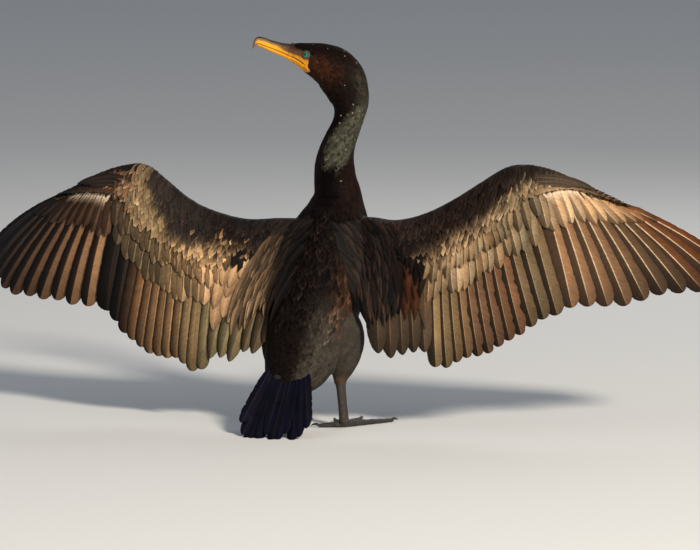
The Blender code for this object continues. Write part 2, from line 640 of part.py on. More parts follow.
def make_leg(group, side):
    left = side == "left"
    points = [flip(Vector(point), left) for point, _ in SHANK]
    radii = [radius for _, radius in SHANK]
    shank = put("shank_" + side, tube(points, radii, SHANK_SIDES, Vector((0, 1, 0))), group, "plumage")
    hock, ankle = flip(HOCK, left), flip(ANKLE, left)
    down = (ankle - hock).normalized()
    points = [hock + down * s for s in TARSUS_POINTS] + [ankle]
    bm = tube(points, TARSUS_RADII, TARSUS_SIDES, Vector((0, 1, 0)), TARSUS_DEPTH)
    for vert in bm.verts:
        vert.co.z = max(vert.co.z, FOOT_TOP + GAP)
    put("tarsus_" + side, bm, group, "leg_skin")
    return shank


def toe_heading(heading, left):
    angle = math.radians(heading)
    return Vector((math.sin(angle) * (-1 if left else 1), math.cos(angle), 0))


def toe_line(start, heading, length, left):
    """Points from the foot's joint along a toe to its claw, sinking to the floor."""
    ahead = toe_heading(heading, left)
    points = []
    for share, height in TOE_HEIGHTS:
        point = start + ahead * (length * share)
        points.append(Vector((point.x, point.y, height)))
    return points


def make_foot(group, side):
    left = side == "left"
    ankle = flip(ANKLE, left)
    tips = []
    toes = []
    claws = []
    for name, heading, length in TOES:
        line = toe_line(ankle, heading, length, left)
        bm = tube(line, TOE_RADII, TOE_SIDES)
        for vert in bm.verts:
            vert.co.z = max(vert.co.z, 0.0)
        toes.append(put("toe", bm, group))
        ahead = toe_heading(heading, left)
        tips.append(line[-1])
        nail = [line[-1] + ahead * (GAP + CLAW_LENGTH * s) + Vector((0, 0, z)) for s, z, _ in CLAW_SHAPE]
        bm = tube(nail, [radius for _, _, radius in CLAW_SHAPE], CLAW_SIDES)
        for vert in bm.verts:
            vert.co.z = max(vert.co.z, 0.0)
        claws.append(put(f"claw_{name}_{side}", bm, group, "claw_horn"))
    webs = []
    for near, far, (_, a, la), (_, b, lb) in zip(tips, tips[1:], TOES, TOES[1:]):
        rim = []
        for i in range(WEB_STEPS + 1):
            t = i / WEB_STEPS
            scallop = 1 - WEB_SAG * math.sin(math.pi * t)
            rim.append(ankle + (near.lerp(far, t) - ankle) * (scallop * WEB_REACH))
        outline = [Vector((p.x, p.y, WEB_LIFT)) for p in [ankle] + rim]
        top = [p + Vector((0, 0, WEB_THICKNESS)) for p in outline]
        webs.append(put("web", loft([outline, top]), group))
    foot = toes[0]
    foot.name = "foot_" + side
    foot.data.materials.append(material("leg_skin"))
    pad = put("joint", ball(ankle - Vector((0, 0, FOOT_PAD_DROP)), FOOT_PAD), group)
    for vert in pad.data.vertices:
        vert.co.z = min(max(vert.co.z, 0.0), FOOT_TOP)
    boolean(foot, toes[1:] + webs + [pad], "UNION")
    return foot


def main():
    for old in list(bpy.data.objects):
        bpy.data.objects.remove(old)
    bird = collection("cormorant")
    put("torso", trunk_mesh(), bird, "plumage")
    put("neck_lower", body_length(TRUNK_END, NECK_SPLIT, NECK_RINGS), bird, "plumage")
    put("neck_upper", body_length(NECK_SPLIT, NECK_END, NECK_RINGS), bird, "plumage")
    make_head(bird)
    make_bill(bird)
    right = {"leading": RIGHT_LEADING, "roots": RIGHT_ROOTS, "tips": RIGHT_TIPS, "sign": 1}
    left = {"leading": LEFT_LEADING, "roots": LEFT_ROOTS, "tips": LEFT_TIPS, "sign": -1}
    limbs = [make_wing("wing_right", right, bird), make_wing("wing_left", left, bird), make_tail(bird)]
    for side in ("left", "right"):
        limbs.append(make_leg(bird, side))
        make_foot(bird, side)
    for limb in limbs:
        boolean(limb, [put("cut", trunk_mesh(GAP), bird)], "DIFFERENCE", "MANIFOLD")
    bpy.context.view_layer.update()
    for thing in bird.objects:
        thing.data.transform(Matrix.Translation(-BOX_CENTRE))


main()
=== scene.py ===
"""The looks of a double-crested cormorant that dries its wings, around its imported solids.

Metres, +Z up. The bird is modelled round the same middle as its solids, and each piece is moved to their
origin as it is made. The breast faces +Y, the right wing lies towards +X, and the neck turns the bill to the
bird's left.
"""

import functools
import math

import bmesh
import bpy
import numpy as np
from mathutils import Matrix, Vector, kdtree
from mathutils.bvhtree import BVHTree


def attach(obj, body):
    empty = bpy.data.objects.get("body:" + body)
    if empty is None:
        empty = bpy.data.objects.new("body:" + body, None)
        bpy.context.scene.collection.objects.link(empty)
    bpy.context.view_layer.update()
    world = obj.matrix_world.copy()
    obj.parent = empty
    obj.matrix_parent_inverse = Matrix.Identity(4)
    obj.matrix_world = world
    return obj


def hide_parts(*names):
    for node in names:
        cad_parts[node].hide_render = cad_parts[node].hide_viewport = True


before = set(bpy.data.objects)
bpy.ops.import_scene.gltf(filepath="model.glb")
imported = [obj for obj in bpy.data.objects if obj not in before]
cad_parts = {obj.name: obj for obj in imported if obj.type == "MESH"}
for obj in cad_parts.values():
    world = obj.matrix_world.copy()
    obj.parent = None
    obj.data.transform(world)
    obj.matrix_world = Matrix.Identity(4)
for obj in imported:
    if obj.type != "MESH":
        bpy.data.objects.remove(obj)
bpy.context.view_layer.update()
rng = np.random.default_rng(7)

BOX_CENTRE = np.array((-0.013, 0.0282, 0.0))
FLOOR = 0.0

# The camera looks at the bird's back from 8 m away, at the photograph's framing of 700 by 550 pixels.
CAMERA_AZIMUTH, CAMERA_RISE, CAMERA_DISTANCE = math.radians(18), math.radians(6), 8.0
METRES_ACROSS = 0.98
AIM_RIGHT, AIM_UP = 0.042, 0.217
SENSOR = 0.036

# Body stations from the tail's root to the bill: centre, half width, half depth.
TRUNK = (
    ((-0.043, -0.046, 0.045), 0.015, 0.007), ((-0.043, -0.026, 0.058), 0.023, 0.014),
    ((-0.041, -0.011, 0.069), 0.037, 0.026), ((-0.037, 0.010, 0.088), 0.049, 0.041),
    ((-0.032, 0.031, 0.119), 0.057, 0.054), ((-0.028, 0.053, 0.156), 0.063, 0.061),
    ((-0.025, 0.073, 0.195), 0.065, 0.063), ((-0.022, 0.091, 0.230), 0.063, 0.061),
    ((-0.018, 0.105, 0.263), 0.058, 0.055), ((-0.015, 0.114, 0.287), 0.049, 0.048),
    ((-0.014, 0.119, 0.305), 0.040, 0.041),
)
NECK = (
    ((-0.014, 0.121, 0.322), 0.0335, 0.036), ((-0.016, 0.118, 0.341), 0.0300, 0.032),
    ((-0.015, 0.112, 0.363), 0.0280, 0.0285), ((-0.0105, 0.107, 0.382), 0.0250, 0.0255),
    ((-0.0035, 0.104, 0.400), 0.0225, 0.0225), ((0.0045, 0.104, 0.418), 0.0210, 0.0205),
    ((0.0090, 0.106, 0.435), 0.0212, 0.0220), ((0.0098, 0.108, 0.451), 0.0225, 0.0258),
)
HEAD = (
    ((0.006, 0.109, 0.466), 0.0235, 0.0295), ((-0.002, 0.109, 0.484), 0.0240, 0.0325),
    ((-0.015, 0.108, 0.499), 0.0240, 0.0315), ((-0.031, 0.106, 0.508), 0.0225, 0.0275),
    ((-0.047, 0.103, 0.514), 0.0190, 0.0225), ((-0.061, 0.100, 0.519), 0.0135, 0.0170),
    ((-0.073, 0.098, 0.5225), 0.0095, 0.0130),
)
NECK_START, HEAD_START = len(TRUNK), len(TRUNK) + len(NECK)
HEAD_END = HEAD_START + len(HEAD) - 1
DORSAL = (
    (0, (-0.1, -1.0, 0.45)), (NECK_START + 1, (0.0, -1.0, 0.25)), (NECK_START + 4.5, (0.7, -0.75, 0.1)),
    (HEAD_START - 1, (1.0, 0.15, 0.15)), (HEAD_START + 2, (0.6, 0.15, 0.9)), (HEAD_END, (0.15, 0.05, 1.0)),
)

# The bill, as the height of its ridge, mouth line and underside at stations from its root to its tip.
BILL_ROOT = np.array((-0.0735, 0.098, 0.0))
BILL_TIP = np.array((-0.1275, 0.084, 0.0))
BILL_RIDGE = (
    (-0.2, 0.5330), (0.0, 0.5335), (0.25, 0.5350), (0.5, 0.5385), (0.72, 0.5428), (0.84, 0.5437),
    (0.92, 0.5418), (0.97, 0.5380), (1.0, 0.5315),
)
BILL_MOUTH = (
    (-0.2, 0.5105), (0.0, 0.5155), (0.25, 0.5215), (0.5, 0.5270), (0.72, 0.5315), (0.84, 0.5338),
    (0.92, 0.5325), (0.97, 0.5290), (1.0, 0.5262),
)
BILL_UNDER = (
    (-0.2, 0.5000), (0.0, 0.5085), (0.25, 0.5155), (0.5, 0.5215), (0.72, 0.5270), (0.86, 0.5300),
    (0.91, 0.5318),
)
BILL_HALF_WIDTH = (
    (-0.2, 0.0100), (0.0, 0.0088), (0.25, 0.0065), (0.5, 0.0052), (0.75, 0.0047), (0.9, 0.0038),
    (0.97, 0.0024), (1.0, 0.0010),
)

EYE_STATION, EYE_RISE, EYE_DEPTH = HEAD_START + 4.15, 0.0032, 0.0053
EYE_RADIUS, PUPIL_RADIUS = 0.0070, 0.0016

# Wings, by numbered flight feathers from the body outwards: leading edge, feather root and feather tip.
HUMERALS, SECONDARIES, PRIMARIES = 5, 12, 10
FIRST_SECONDARY, FIRST_PRIMARY = HUMERALS, HUMERALS + SECONDARIES
LAST_PRIMARY = FIRST_PRIMARY + PRIMARIES - 1
RIGHT_LEADING = (
    (-3, (0.004, 0.112, 0.290)), (0, (0.044, 0.112, 0.290)), (2, (0.076, 0.112, 0.287)),
    (4, (0.114, 0.109, 0.296)), (8, (0.161, 0.103, 0.319)), (11, (0.200, 0.097, 0.343)),
    (14, (0.241, 0.092, 0.368)), (16, (0.267, 0.090, 0.374)), (18, (0.303, 0.095, 0.369)),
    (21, (0.343, 0.105, 0.352)), (24, (0.384, 0.118, 0.331)), (27, (0.418, 0.130, 0.312)),
)
RIGHT_ROOTS = (
    (-3, (0.012, 0.088, 0.238)), (0, (0.052, 0.080, 0.240)), (2, (0.086, 0.076, 0.234)),
    (4, (0.124, 0.066, 0.227)), (5, (0.146, 0.062, 0.226)), (10, (0.199, 0.066, 0.255)),
    (14, (0.244, 0.070, 0.288)), (16, (0.276, 0.074, 0.314)), (17, (0.298, 0.078, 0.328)),
    (20, (0.334, 0.090, 0.335)), (23, (0.364, 0.102, 0.328)), (27, (0.403, 0.119, 0.315)),
)
RIGHT_TIPS = (
    (-3, (0.036, 0.006, 0.130)), (0, (0.082, 0.012, 0.112)), (2, (0.116, 0.019, 0.103)),
    (4, (0.146, 0.025, 0.110)), (5, (0.161, 0.028, 0.092)), (8, (0.207, 0.030, 0.103)),
    (12, (0.267, 0.034, 0.131)), (16, (0.331, 0.042, 0.173)), (17, (0.352, 0.048, 0.180)),
    (20, (0.421, 0.080, 0.183)), (22.5, (0.480, 0.112, 0.199)), (24, (0.517, 0.137, 0.199)),
    (25, (0.527, 0.156, 0.218)), (26, (0.530, 0.175, 0.238)),
)
LEFT_LEADING = (
    (-3, (-0.034, 0.112, 0.284)), (0, (-0.066, 0.112, 0.285)), (2, (-0.098, 0.112, 0.285)),
    (4, (-0.142, 0.110, 0.283)), (8, (-0.199, 0.105, 0.297)), (11, (-0.232, 0.100, 0.315)),
    (14, (-0.264, 0.094, 0.342)), (16, (-0.288, 0.090, 0.359)), (18, (-0.322, 0.095, 0.357)),
    (21, (-0.368, 0.108, 0.342)), (24, (-0.412, 0.122, 0.320)), (27, (-0.448, 0.135, 0.303)),
)
LEFT_ROOTS = (
    (-3, (-0.040, 0.088, 0.236)), (0, (-0.070, 0.080, 0.236)), (2, (-0.104, 0.075, 0.228)),
    (4, (-0.152, 0.064, 0.215)), (5, (-0.182, 0.062, 0.211)), (8, (-0.226, 0.065, 0.224)),
    (12, (-0.266, 0.068, 0.246)), (14, (-0.290, 0.070, 0.262)), (16, (-0.320, 0.074, 0.290)),
    (17, (-0.340, 0.078, 0.307)), (20, (-0.374, 0.090, 0.311)), (23, (-0.405, 0.103, 0.307)),
    (27, (-0.440, 0.121, 0.300)),
)
LEFT_TIPS = (
    (-3, (-0.066, 0.004, 0.128)), (0, (-0.103, 0.009, 0.104)), (2, (-0.140, 0.018, 0.092)),
    (4, (-0.172, 0.025, 0.090)), (5, (-0.187, 0.028, 0.072)), (8, (-0.225, 0.030, 0.088)),
    (12, (-0.279, 0.034, 0.103)), (16, (-0.334, 0.042, 0.150)), (17, (-0.366, 0.048, 0.156)),
    (20, (-0.449, 0.080, 0.162)), (23, (-0.524, 0.120, 0.172)), (26, (-0.556, 0.175, 0.227)),
)
WING_THICKNESS = ((-3, 0.034), (2, 0.028), (8, 0.021), (16, 0.017), (21, 0.010), (27, 0.006))
# The wing's section: share of the chord and of the half thickness. The nose is rounded before the first.
WING_SECTION = ((0.08, 0.72), (0.28, 1.0), (0.6, 0.74), (0.92, 0.40), (1.10, 0.16))
FLIGHT_START, CAMBER, SHEET_FADE = 0.82, 0.035, 0.02
FLIGHT_WIDTH = ((0, 0.030), (4, 0.027), (5, 0.021), (14, 0.023), (16, 0.028), (17, 0.033), (18, 0.028),
                (26, 0.019))

TAIL_ROOT = np.array((-0.042, -0.004, 0.098))
TAIL_TIPS = (
    (0, (-0.087, -0.092, 0.016)), (2, (-0.075, -0.106, -0.010)), (5, (-0.045, -0.118, -0.010)),
    (7, (-0.026, -0.117, -0.010)), (9, (-0.006, -0.110, -0.010)), (11, (0.012, -0.094, 0.012)),
)
TAIL_FEATHERS, TAIL_WIDTH, TAIL_ROOT_SPREAD = 12, 0.0215, 0.021

HIP_MIDDLE = -0.026
SHANK = (
    ((0.002, 0.048, 0.168), 0.026), ((0.018, 0.048, 0.132), 0.0295), ((0.020, 0.042, 0.104), 0.0265),
    ((0.020, 0.037, 0.084), 0.0185), ((0.019, 0.034, 0.069), 0.0100), ((0.019, 0.034, 0.062), 0.0080),
)
HOCK = np.array((0.019, 0.034, 0.065))
ANKLE = np.array((0.0225, 0.040, 0.0085))
TOES = (("hallux", -108, 0.036), ("inner", -32, 0.052), ("middle", 0, 0.076), ("outer", 31, 0.090))


def unit(v):
    return v / np.linalg.norm(v, axis=-1, keepdims=True)


def between(keys, at):
    """Smooth value at a number, from (number, value) keys."""
    places, values = [k for k, _ in keys], [np.asarray(v, float) for _, v in keys]
    if at <= places[0] or at >= places[-1]:
        near, far = (0, 1) if at <= places[0] else (-1, -2)
        slope = (values[far] - values[near]) / (places[far] - places[near])
        return values[near] + slope * (at - places[near])
    i = max(n for n in range(len(keys) - 1) if places[n] <= at)

    def slope_at(n):
        low, high = max(n - 1, 0), min(n + 1, len(keys) - 1)
        return (values[high] - values[low]) / (places[high] - places[low])

    step = places[i + 1] - places[i]
    t = (at - places[i]) / step
    blend = t * t * (3 - 2 * t)
    ease_in, ease_out = t * (1 - t) ** 2 * step, -t * t * (1 - t) * step
    straight = values[i] + (values[i + 1] - values[i]) * blend
    return straight + slope_at(i) * ease_in + slope_at(i + 1) * ease_out


def sampled(function, first, last, count):
    """A quick stand-in for a slow smooth function of one number, which also takes arrays."""
    steps = np.linspace(first, last, count)
    values = np.array([function(s) for s in steps])
    return lambda at: np.stack([np.interp(at, steps, column) for column in values.T], axis=-1)


def smooth(low, high, x):
    t = np.clip((x - low) / (high - low), 0, 1)
    return t * t * (3 - 2 * t)


def mix(a, b, share):
    share = np.asarray(share)[..., None]
    return np.asarray(a) * (1 - share) + np.asarray(b) * share


def keyed(keys, at):
    """A plain straight-line value at a number, from (number, value) keys."""
    return np.interp(at, [k for k, _ in keys], [v for _, v in keys])


def linear(*srgb):
    """A scene-linear colour from red, green and blue in 0 to 255."""
    c = np.array(srgb, float) / 255
    return np.where(c <= 0.04045, c / 12.92, ((c + 0.055) / 1.055) ** 2.4)


def colour_keys(keys):
    """Colours along a row of feathers, as a function of the feather's number."""
    places, colours = [k for k, _ in keys], np.array([linear(*c) for _, c in keys])
    return lambda at: np.stack([np.interp(at, places, channel) for channel in colours.T], axis=-1)


# Materials

# How much tighter the streaks' noise runs from barb to barb than along them.
BARB_STREAKS = (420.0, 60.0)


class Finish:
    """A material whose colour is the mesh's tint, with short ways to add its nodes."""

    def __init__(self, name, roughness, **settings):
        self.made = bpy.data.materials.new(name)
        self.made.use_nodes = True
        self.nodes, self.links = self.made.node_tree.nodes, self.made.node_tree.links
        self.shader = self.nodes["Principled BSDF"]
        self.shader.inputs["Roughness"].default_value = roughness
        for socket, value in settings.items():
            self.shader.inputs[socket.replace("_", " ")].default_value = value
        self.tint = self.add("ShaderNodeAttribute", attribute_name="tint").outputs["Color"]

    def add(self, kind, inputs=None, **settings):
        """A node whose inputs are set to numbers or fed by other nodes' sockets."""
        made = self.nodes.new(kind)
        for name, value in settings.items():
            setattr(made, name, value)
        for name, value in (inputs or {}).items():
            if isinstance(value, (int, float)):
                made.inputs[name].default_value = value
            else:
                self.links.new(value, made.inputs[name])
        return made

    def place(self):
        return self.add("ShaderNodeTexCoord").outputs["Object"]

    def vane(self):
        return self.add("ShaderNodeUVMap", uv_map="vane").outputs["UV"]

    def maths(self, operation, *values):
        return self.add("ShaderNodeMath", dict(enumerate(values)), operation=operation).outputs[0]

    def product(self, first, second):
        return self.maths("MULTIPLY", first, second)

    def scaled(self, source, low, high):
        """A value from 0 to 1 spread between two others."""
        inputs = {"Value": source, "To Min": low, "To Max": high}
        return self.add("ShaderNodeMapRange", inputs).outputs["Result"]

    def noise(self, vector, scale, detail=3.0):
        inputs = {"Vector": vector, "Scale": scale, "Detail": detail, "Roughness": 0.55}
        return self.add("ShaderNodeTexNoise", inputs).outputs["Fac"]

    def colour(self, shade):
        """Links the tint, made darker or lighter by a value."""
        shaded = self.add("ShaderNodeVectorMath", {0: self.tint, "Scale": shade}, operation="SCALE")
        self.links.new(shaded.outputs[0], self.shader.inputs["Base Color"])

    def surface(self, roughness, height, strength, distance):
        """Links the roughness and a bump."""
        self.links.new(roughness, self.shader.inputs["Roughness"])
        bump = self.add("ShaderNodeBump", {"Strength": strength, "Distance": distance, "Height": height})
        self.links.new(bump.outputs["Normal"], self.shader.inputs["Normal"])


def feather_material(name, roughness, barb_pitch, mottle, specular):
    """Feather vanes: the tint, mottled, with barbs that slant from the shaft and catch the light."""
    f = Finish(name, roughness, Specular_IOR_Level=specular)
    place = f.place()
    axes = f.add("ShaderNodeSeparateXYZ", {0: f.vane()}).outputs
    off_shaft = f.maths("ABSOLUTE", axes["X"])
    slant = f.maths("SUBTRACT", axes["Y"], off_shaft)
    barbs = f.maths("MULTIPLY_ADD", f.maths("SINE", f.product(slant, 2 * math.pi / barb_pitch)), 0.5, 0.5)
    along_barbs = f.add("ShaderNodeCombineXYZ", {
        "X": f.product(slant, BARB_STREAKS[0]),
        "Y": f.product(off_shaft, BARB_STREAKS[1]),
        "Z": f.scaled(f.noise(place, 9.0, 0.0), 0.0, 40.0),
    })
    streaks = f.noise(along_barbs.outputs[0], 1.0, 2.0)
    patches, grain = f.noise(place, 60.0), f.noise(place, 900.0, 2.0)
    shade = f.product(f.scaled(patches, 1 - mottle, 1 + mottle), f.scaled(barbs, 0.90, 1.08))
    shade = f.product(shade, f.scaled(grain, 0.80, 1.20))
    f.colour(f.product(shade, f.scaled(streaks, 0.45, 1.55)))
    sheen = f.scaled(patches, roughness - 0.12, roughness + 0.14)
    f.surface(sheen, f.maths("ADD", barbs, grain), 0.35, 0.0003)
    return f.made


def hide_material(name, roughness, grain_scale, grain_depth, mottle, cells=0.0, **settings):
    """Skin or horn: the tint, mottled, with a pebbled or scaly grain."""
    f = Finish(name, roughness, **settings)
    place = f.place()
    patches, grain = f.noise(place, grain_scale / 6, 4.0), f.noise(place, grain_scale, 3.0)
    height, shade = grain, f.scaled(patches, 1 - mottle, 1 + mottle)
    if cells:
        scales = f.add("ShaderNodeTexVoronoi", {"Vector": place, "Scale": cells}, feature="DISTANCE_TO_EDGE")
        edge = f.maths("MINIMUM", f.product(scales.outputs["Distance"], 6), 1)
        height = f.maths("MULTIPLY_ADD", edge, 2.0, grain)
        shade = f.product(shade, f.scaled(edge, 0.62, 1.08))
    f.colour(shade)
    f.surface(f.scaled(grain, roughness - 0.10, roughness + 0.12), height, 0.5, grain_depth)
    return f.made


def eye_material():
    """A wet eye: iris streaked from the pupil outwards, both under a clear coat."""
    f = Finish("eye_wet", 0.22, Coat_Weight=0.5, Coat_Roughness=0.03)
    streaks = f.add("ShaderNodeTexNoise", {"Vector": f.vane(), "Scale": 14.0, "Detail": 3.0})
    f.colour(f.scaled(streaks.outputs["Fac"], 0.5, 1.5))
    return f.made


MATERIALS = {
    "body_feather": feather_material("body_feather", 0.52, 0.0008, 0.35, 0.03),
    "wing_feather": feather_material("wing_feather", 0.50, 0.0009, 0.26, 0.10),
    "tail_feather": feather_material("tail_feather", 0.36, 0.0010, 0.25, 0.10),
    "flesh": hide_material("flesh", 0.7, 700.0, 0.0004, 0.2),
    "bare_face": hide_material("bare_face", 0.46, 1100.0, 0.00035, 0.16, cells=900.0, Specular_IOR_Level=0.2),
    "bill_horn": hide_material("bill_horn", 0.34, 500.0, 0.0002, 0.22, Specular_IOR_Level=0.3),
    "scaly_leg": hide_material("scaly_leg", 0.42, 900.0, 0.0005, 0.2, cells=420.0),
    "claw_horn": hide_material("claw_horn", 0.3, 800.0, 0.0002, 0.2),
    "eye_wet": eye_material(),
}


# Meshes

def make_piece(name, points, faces, tints, finish, nodes=(), maps=None, sharp=None):
    """A mesh piece from arrays, moved to the solids' origin, with tints and maps given by point."""
    mesh = bpy.data.meshes.new(name)
    faces = [np.asarray(f) for f in faces]
    counts = np.concatenate([np.full(len(f), f.shape[1]) for f in faces])
    corners = np.concatenate([f.ravel() for f in faces]).astype(np.int32)
    mesh.vertices.add(len(points))
    mesh.vertices.foreach_set("co", (np.asarray(points) - BOX_CENTRE).astype(np.float32).ravel())
    mesh.loops.add(len(corners))
    mesh.loops.foreach_set("vertex_index", corners)
    mesh.polygons.add(len(counts))
    mesh.polygons.foreach_set("loop_start", np.concatenate([[0], np.cumsum(counts)[:-1]]).astype(np.int32))
    mesh.update(calc_edges=True)
    mesh.validate()
    tint = mesh.attributes.new("tint", "FLOAT_COLOR", "POINT")
    rgba = np.ones((len(points), 4), np.float32)
    rgba[:, :3] = tints
    tint.data.foreach_set("color", rgba.ravel())
    for map_name, places in (maps or {}).items():
        layer = mesh.uv_layers.new(name=map_name)
        layer.data.foreach_set("uv", np.asarray(places, np.float32)[corners].ravel())
    mesh.shade_smooth()
    if sharp:
        mesh.set_sharp_from_angle(angle=math.radians(sharp))
    mesh.materials.append(MATERIALS[finish])
    made = bpy.data.objects.new(name, mesh)
    bpy.context.scene.collection.objects.link(made)
    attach(made, "root")
    if nodes:
        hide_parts(*nodes)


def grid_quads(index, following):
    """Quads between the rows of a grid of point numbers and the numbers that follow them in their rows."""
    return np.stack([index[:-1], following[:-1], following[1:], index[1:]], -1).reshape(-1, 4)


def ring_faces(rings, sides):
    """Quads between rings of points."""
    index = np.arange(rings * sides).reshape(rings, sides)
    return grid_quads(index, np.roll(index, -1, axis=1))


def fan(ring, middle, turned=False):
    """Triangles from a ring of point numbers to one in its middle."""
    faces = np.stack([ring, np.roll(ring, -1), np.full(len(ring), middle)], -1)
    return faces[:, ::-1] if turned else faces


def closed_loft(rings):
    """Points and faces of a body through rings, closed by fans. Rings turn the same way round."""
    rings = np.asarray(rings)
    count, sides = rings.shape[:2]
    points = np.vstack([rings.reshape(-1, 3), rings[0].mean(axis=0), rings[-1].mean(axis=0)])
    first, last = np.arange(sides), np.arange(sides) + (count - 1) * sides
    caps = np.vstack([fan(first, count * sides, True), fan(last, count * sides + 1)])
    return points, [ring_faces(count, sides), caps]


def merged(parts):
    """Several (points, faces) as one."""
    points, quads, triangles, start = [], [], [], 0
    for places, faces in parts:
        points.append(places)
        for f in faces:
            (quads if f.shape[1] == 4 else triangles).append(f + start)
        start += len(places)
    return np.vstack(points), [np.vstack(f) for f in (quads, triangles) if f]


# The body's surface

CENTRES, HALF_WIDTHS, HALF_DEPTHS = ([(i, station[part]) for i, station in enumerate(TRUNK + NECK + HEAD)]
                                     for part in range(3))


def body_values(at):
    centre = between(CENTRES, at)
    tangent = unit(between(CENTRES, at + 0.05) - between(CENTRES, at - 0.05))
    back = between(DORSAL, at)
    back = unit(back - tangent * (back @ tangent))
    return np.hstack([centre, tangent, np.cross(tangent, back), back, between(HALF_WIDTHS, at),
                      between(HALF_DEPTHS, at)])


BODY_STEPS = np.linspace(0, HEAD_END, 601)
BODY_VALUES = np.array([body_values(s) for s in BODY_STEPS])
BODY_ARC = np.concatenate([[0], np.cumsum(np.linalg.norm(np.diff(BODY_VALUES[:, :3], axis=0), axis=1))])
BODY_LENGTH = BODY_ARC[-1]


def arc_of(station):
    return np.interp(station, BODY_STEPS, BODY_ARC)


def station_of(arc):
    return np.interp(arc, BODY_ARC, BODY_STEPS)


def body_at(arc):
    values = np.stack([np.interp(arc, BODY_ARC, column) for column in BODY_VALUES.T], axis=-1)
    beyond = (np.asarray(arc) - np.clip(arc, 0, BODY_LENGTH))[..., None]
    values[..., :3] += values[..., 3:6] * beyond
    return values


def body_point(arc, angle, grow=0.0):
    """A point on the body at a distance from the tail's end and an angle round it. Pi / 2 is the back."""
    v = body_at(arc)
    across = ((v[..., 12] + grow) * np.cos(angle))[..., None]
    upward = ((v[..., 13] + grow) * np.sin(angle))[..., None]
    return v[..., :3] + v[..., 6:9] * across + v[..., 9:12] * upward


# How deep the coat is over the skin, by body station.
COAT_DEPTH = ((0, 0.0007), (4, 0.0008), (6, 0.0012), (NECK_START + 3, 0.0010), (HEAD_START, 0.0009),
              (HEAD_START + 2, 0.0008), (HEAD_START + 4, 0.0006), (HEAD_END, 0.0004))


def coat_depth(arc):
    return keyed(COAT_DEPTH, station_of(arc))


# The wings' surfaces

def wing_values(wing, at):
    lead, root = between(wing["leading"], at), between(wing["roots"], at)
    span = (between(wing["leading"], at + 0.5) + between(wing["roots"], at + 0.5)
            - between(wing["leading"], at - 0.5) - between(wing["roots"], at - 0.5))
    up = unit(np.cross(root - lead, unit(span)) * wing["sign"])
    return np.hstack([lead, root, up, between(wing["tips"], at), between(WING_THICKNESS, at) / 2])


def make_wing(leading, roots, tips, sign):
    wing = {"leading": leading, "roots": roots, "tips": tips, "sign": sign}
    wing["at"] = sampled(functools.partial(wing_values, wing), -4, 28, 641)
    return wing


WINGS = {
    "right": make_wing(RIGHT_LEADING, RIGHT_ROOTS, RIGHT_TIPS, 1),
    "left": make_wing(LEFT_LEADING, LEFT_ROOTS, LEFT_TIPS, -1),
}


def wing_parts(wing, at):
    v = wing["at"](at)
    return v[..., :3], v[..., 3:6], v[..., 6:9], v[..., 9:12], v[..., 12:13]


def section_height(chord):
    """The wing's half thickness at a share of its chord, as a share of the greatest."""
    nose_share, nose_height = WING_SECTION[0]
    nose = nose_height * np.sqrt(np.clip(chord, 0, None) / nose_share)
    return np.where(chord < nose_share, nose, keyed(WING_SECTION, chord))


def flight_point(wing, at, share):
    """A point on the sheet of flight feathers, at a share of the way from root to tip."""
    lead, root, up, tip, _ = wing_parts(wing, at)
    start = lead + (root - lead) * FLIGHT_START
    share = np.asarray(share)[..., None]
    length = np.linalg.norm(tip - start, axis=-1, keepdims=True)
    return start + (tip - start) * share + up * (length * CAMBER * 4 * share * (1 - share))


def wing_point(wing, at, back, lift, top=1):
    """A point behind the flight feathers' roots on the wing's upper side, or its lower if top is -1."""
    lead, root, up, tip, half = wing_parts(wing, at)
    line = root - lead
    chord = np.linalg.norm(line, axis=-1, keepdims=True)
    back, lift = np.asarray(back, float)[..., None], np.asarray(lift, float)[..., None]
    share = np.clip(1 + back / chord, 0, 1)
    nose = np.clip(share / 0.05, 0, 1)
    outward = unit(up * (top * nose) - line / chord * (1 - nose))
    on_core = lead + line * share + up * (half * section_height(share) * top) + outward * lift
    length = np.linalg.norm(tip - lead - line * FLIGHT_START, axis=-1, keepdims=True)
    along = (np.maximum(back, 0) + (1 - FLIGHT_START) * chord) / length
    fade = np.exp(-np.maximum(back, 0) / SHEET_FADE)
    edge = half * section_height(np.float64(1.0)) * fade
    sheet = flight_point(wing, at, along[..., 0])
    on_sheet = sheet * (1 - fade) + (root + up * top * edge) * fade + up * top * (lift + edge * (1 - fade))
    return np.where(back <= 0, on_core, on_sheet)


def frames_along(place, at, shares, step, sign):
    """Points, side directions and outward normals of a line on the surface place(number, share)."""
    along = unit(place(at, shares + 0.03) - place(at, shares - 0.03))
    span = place(at + step, shares) - place(at - step, shares)
    normal = unit(np.cross(along, span)) * sign
    return place(at, shares), unit(np.cross(normal, along)) * sign, normal


# Feathers

@functools.cache
def sheet_faces(rows, columns):
    """Quads of a thin closed sheet: a grid above and one below, which share their rim."""
    top = np.arange(rows * columns).reshape(rows, columns)
    below = top.copy()
    below[1:-1, 1:-1] = rows * columns + np.arange((rows - 2) * (columns - 2)).reshape(rows - 2, columns - 2)
    return np.vstack([grid_quads(grid[:, :-1], grid[:, 1:]) for grid in (top, below[:, ::-1])])


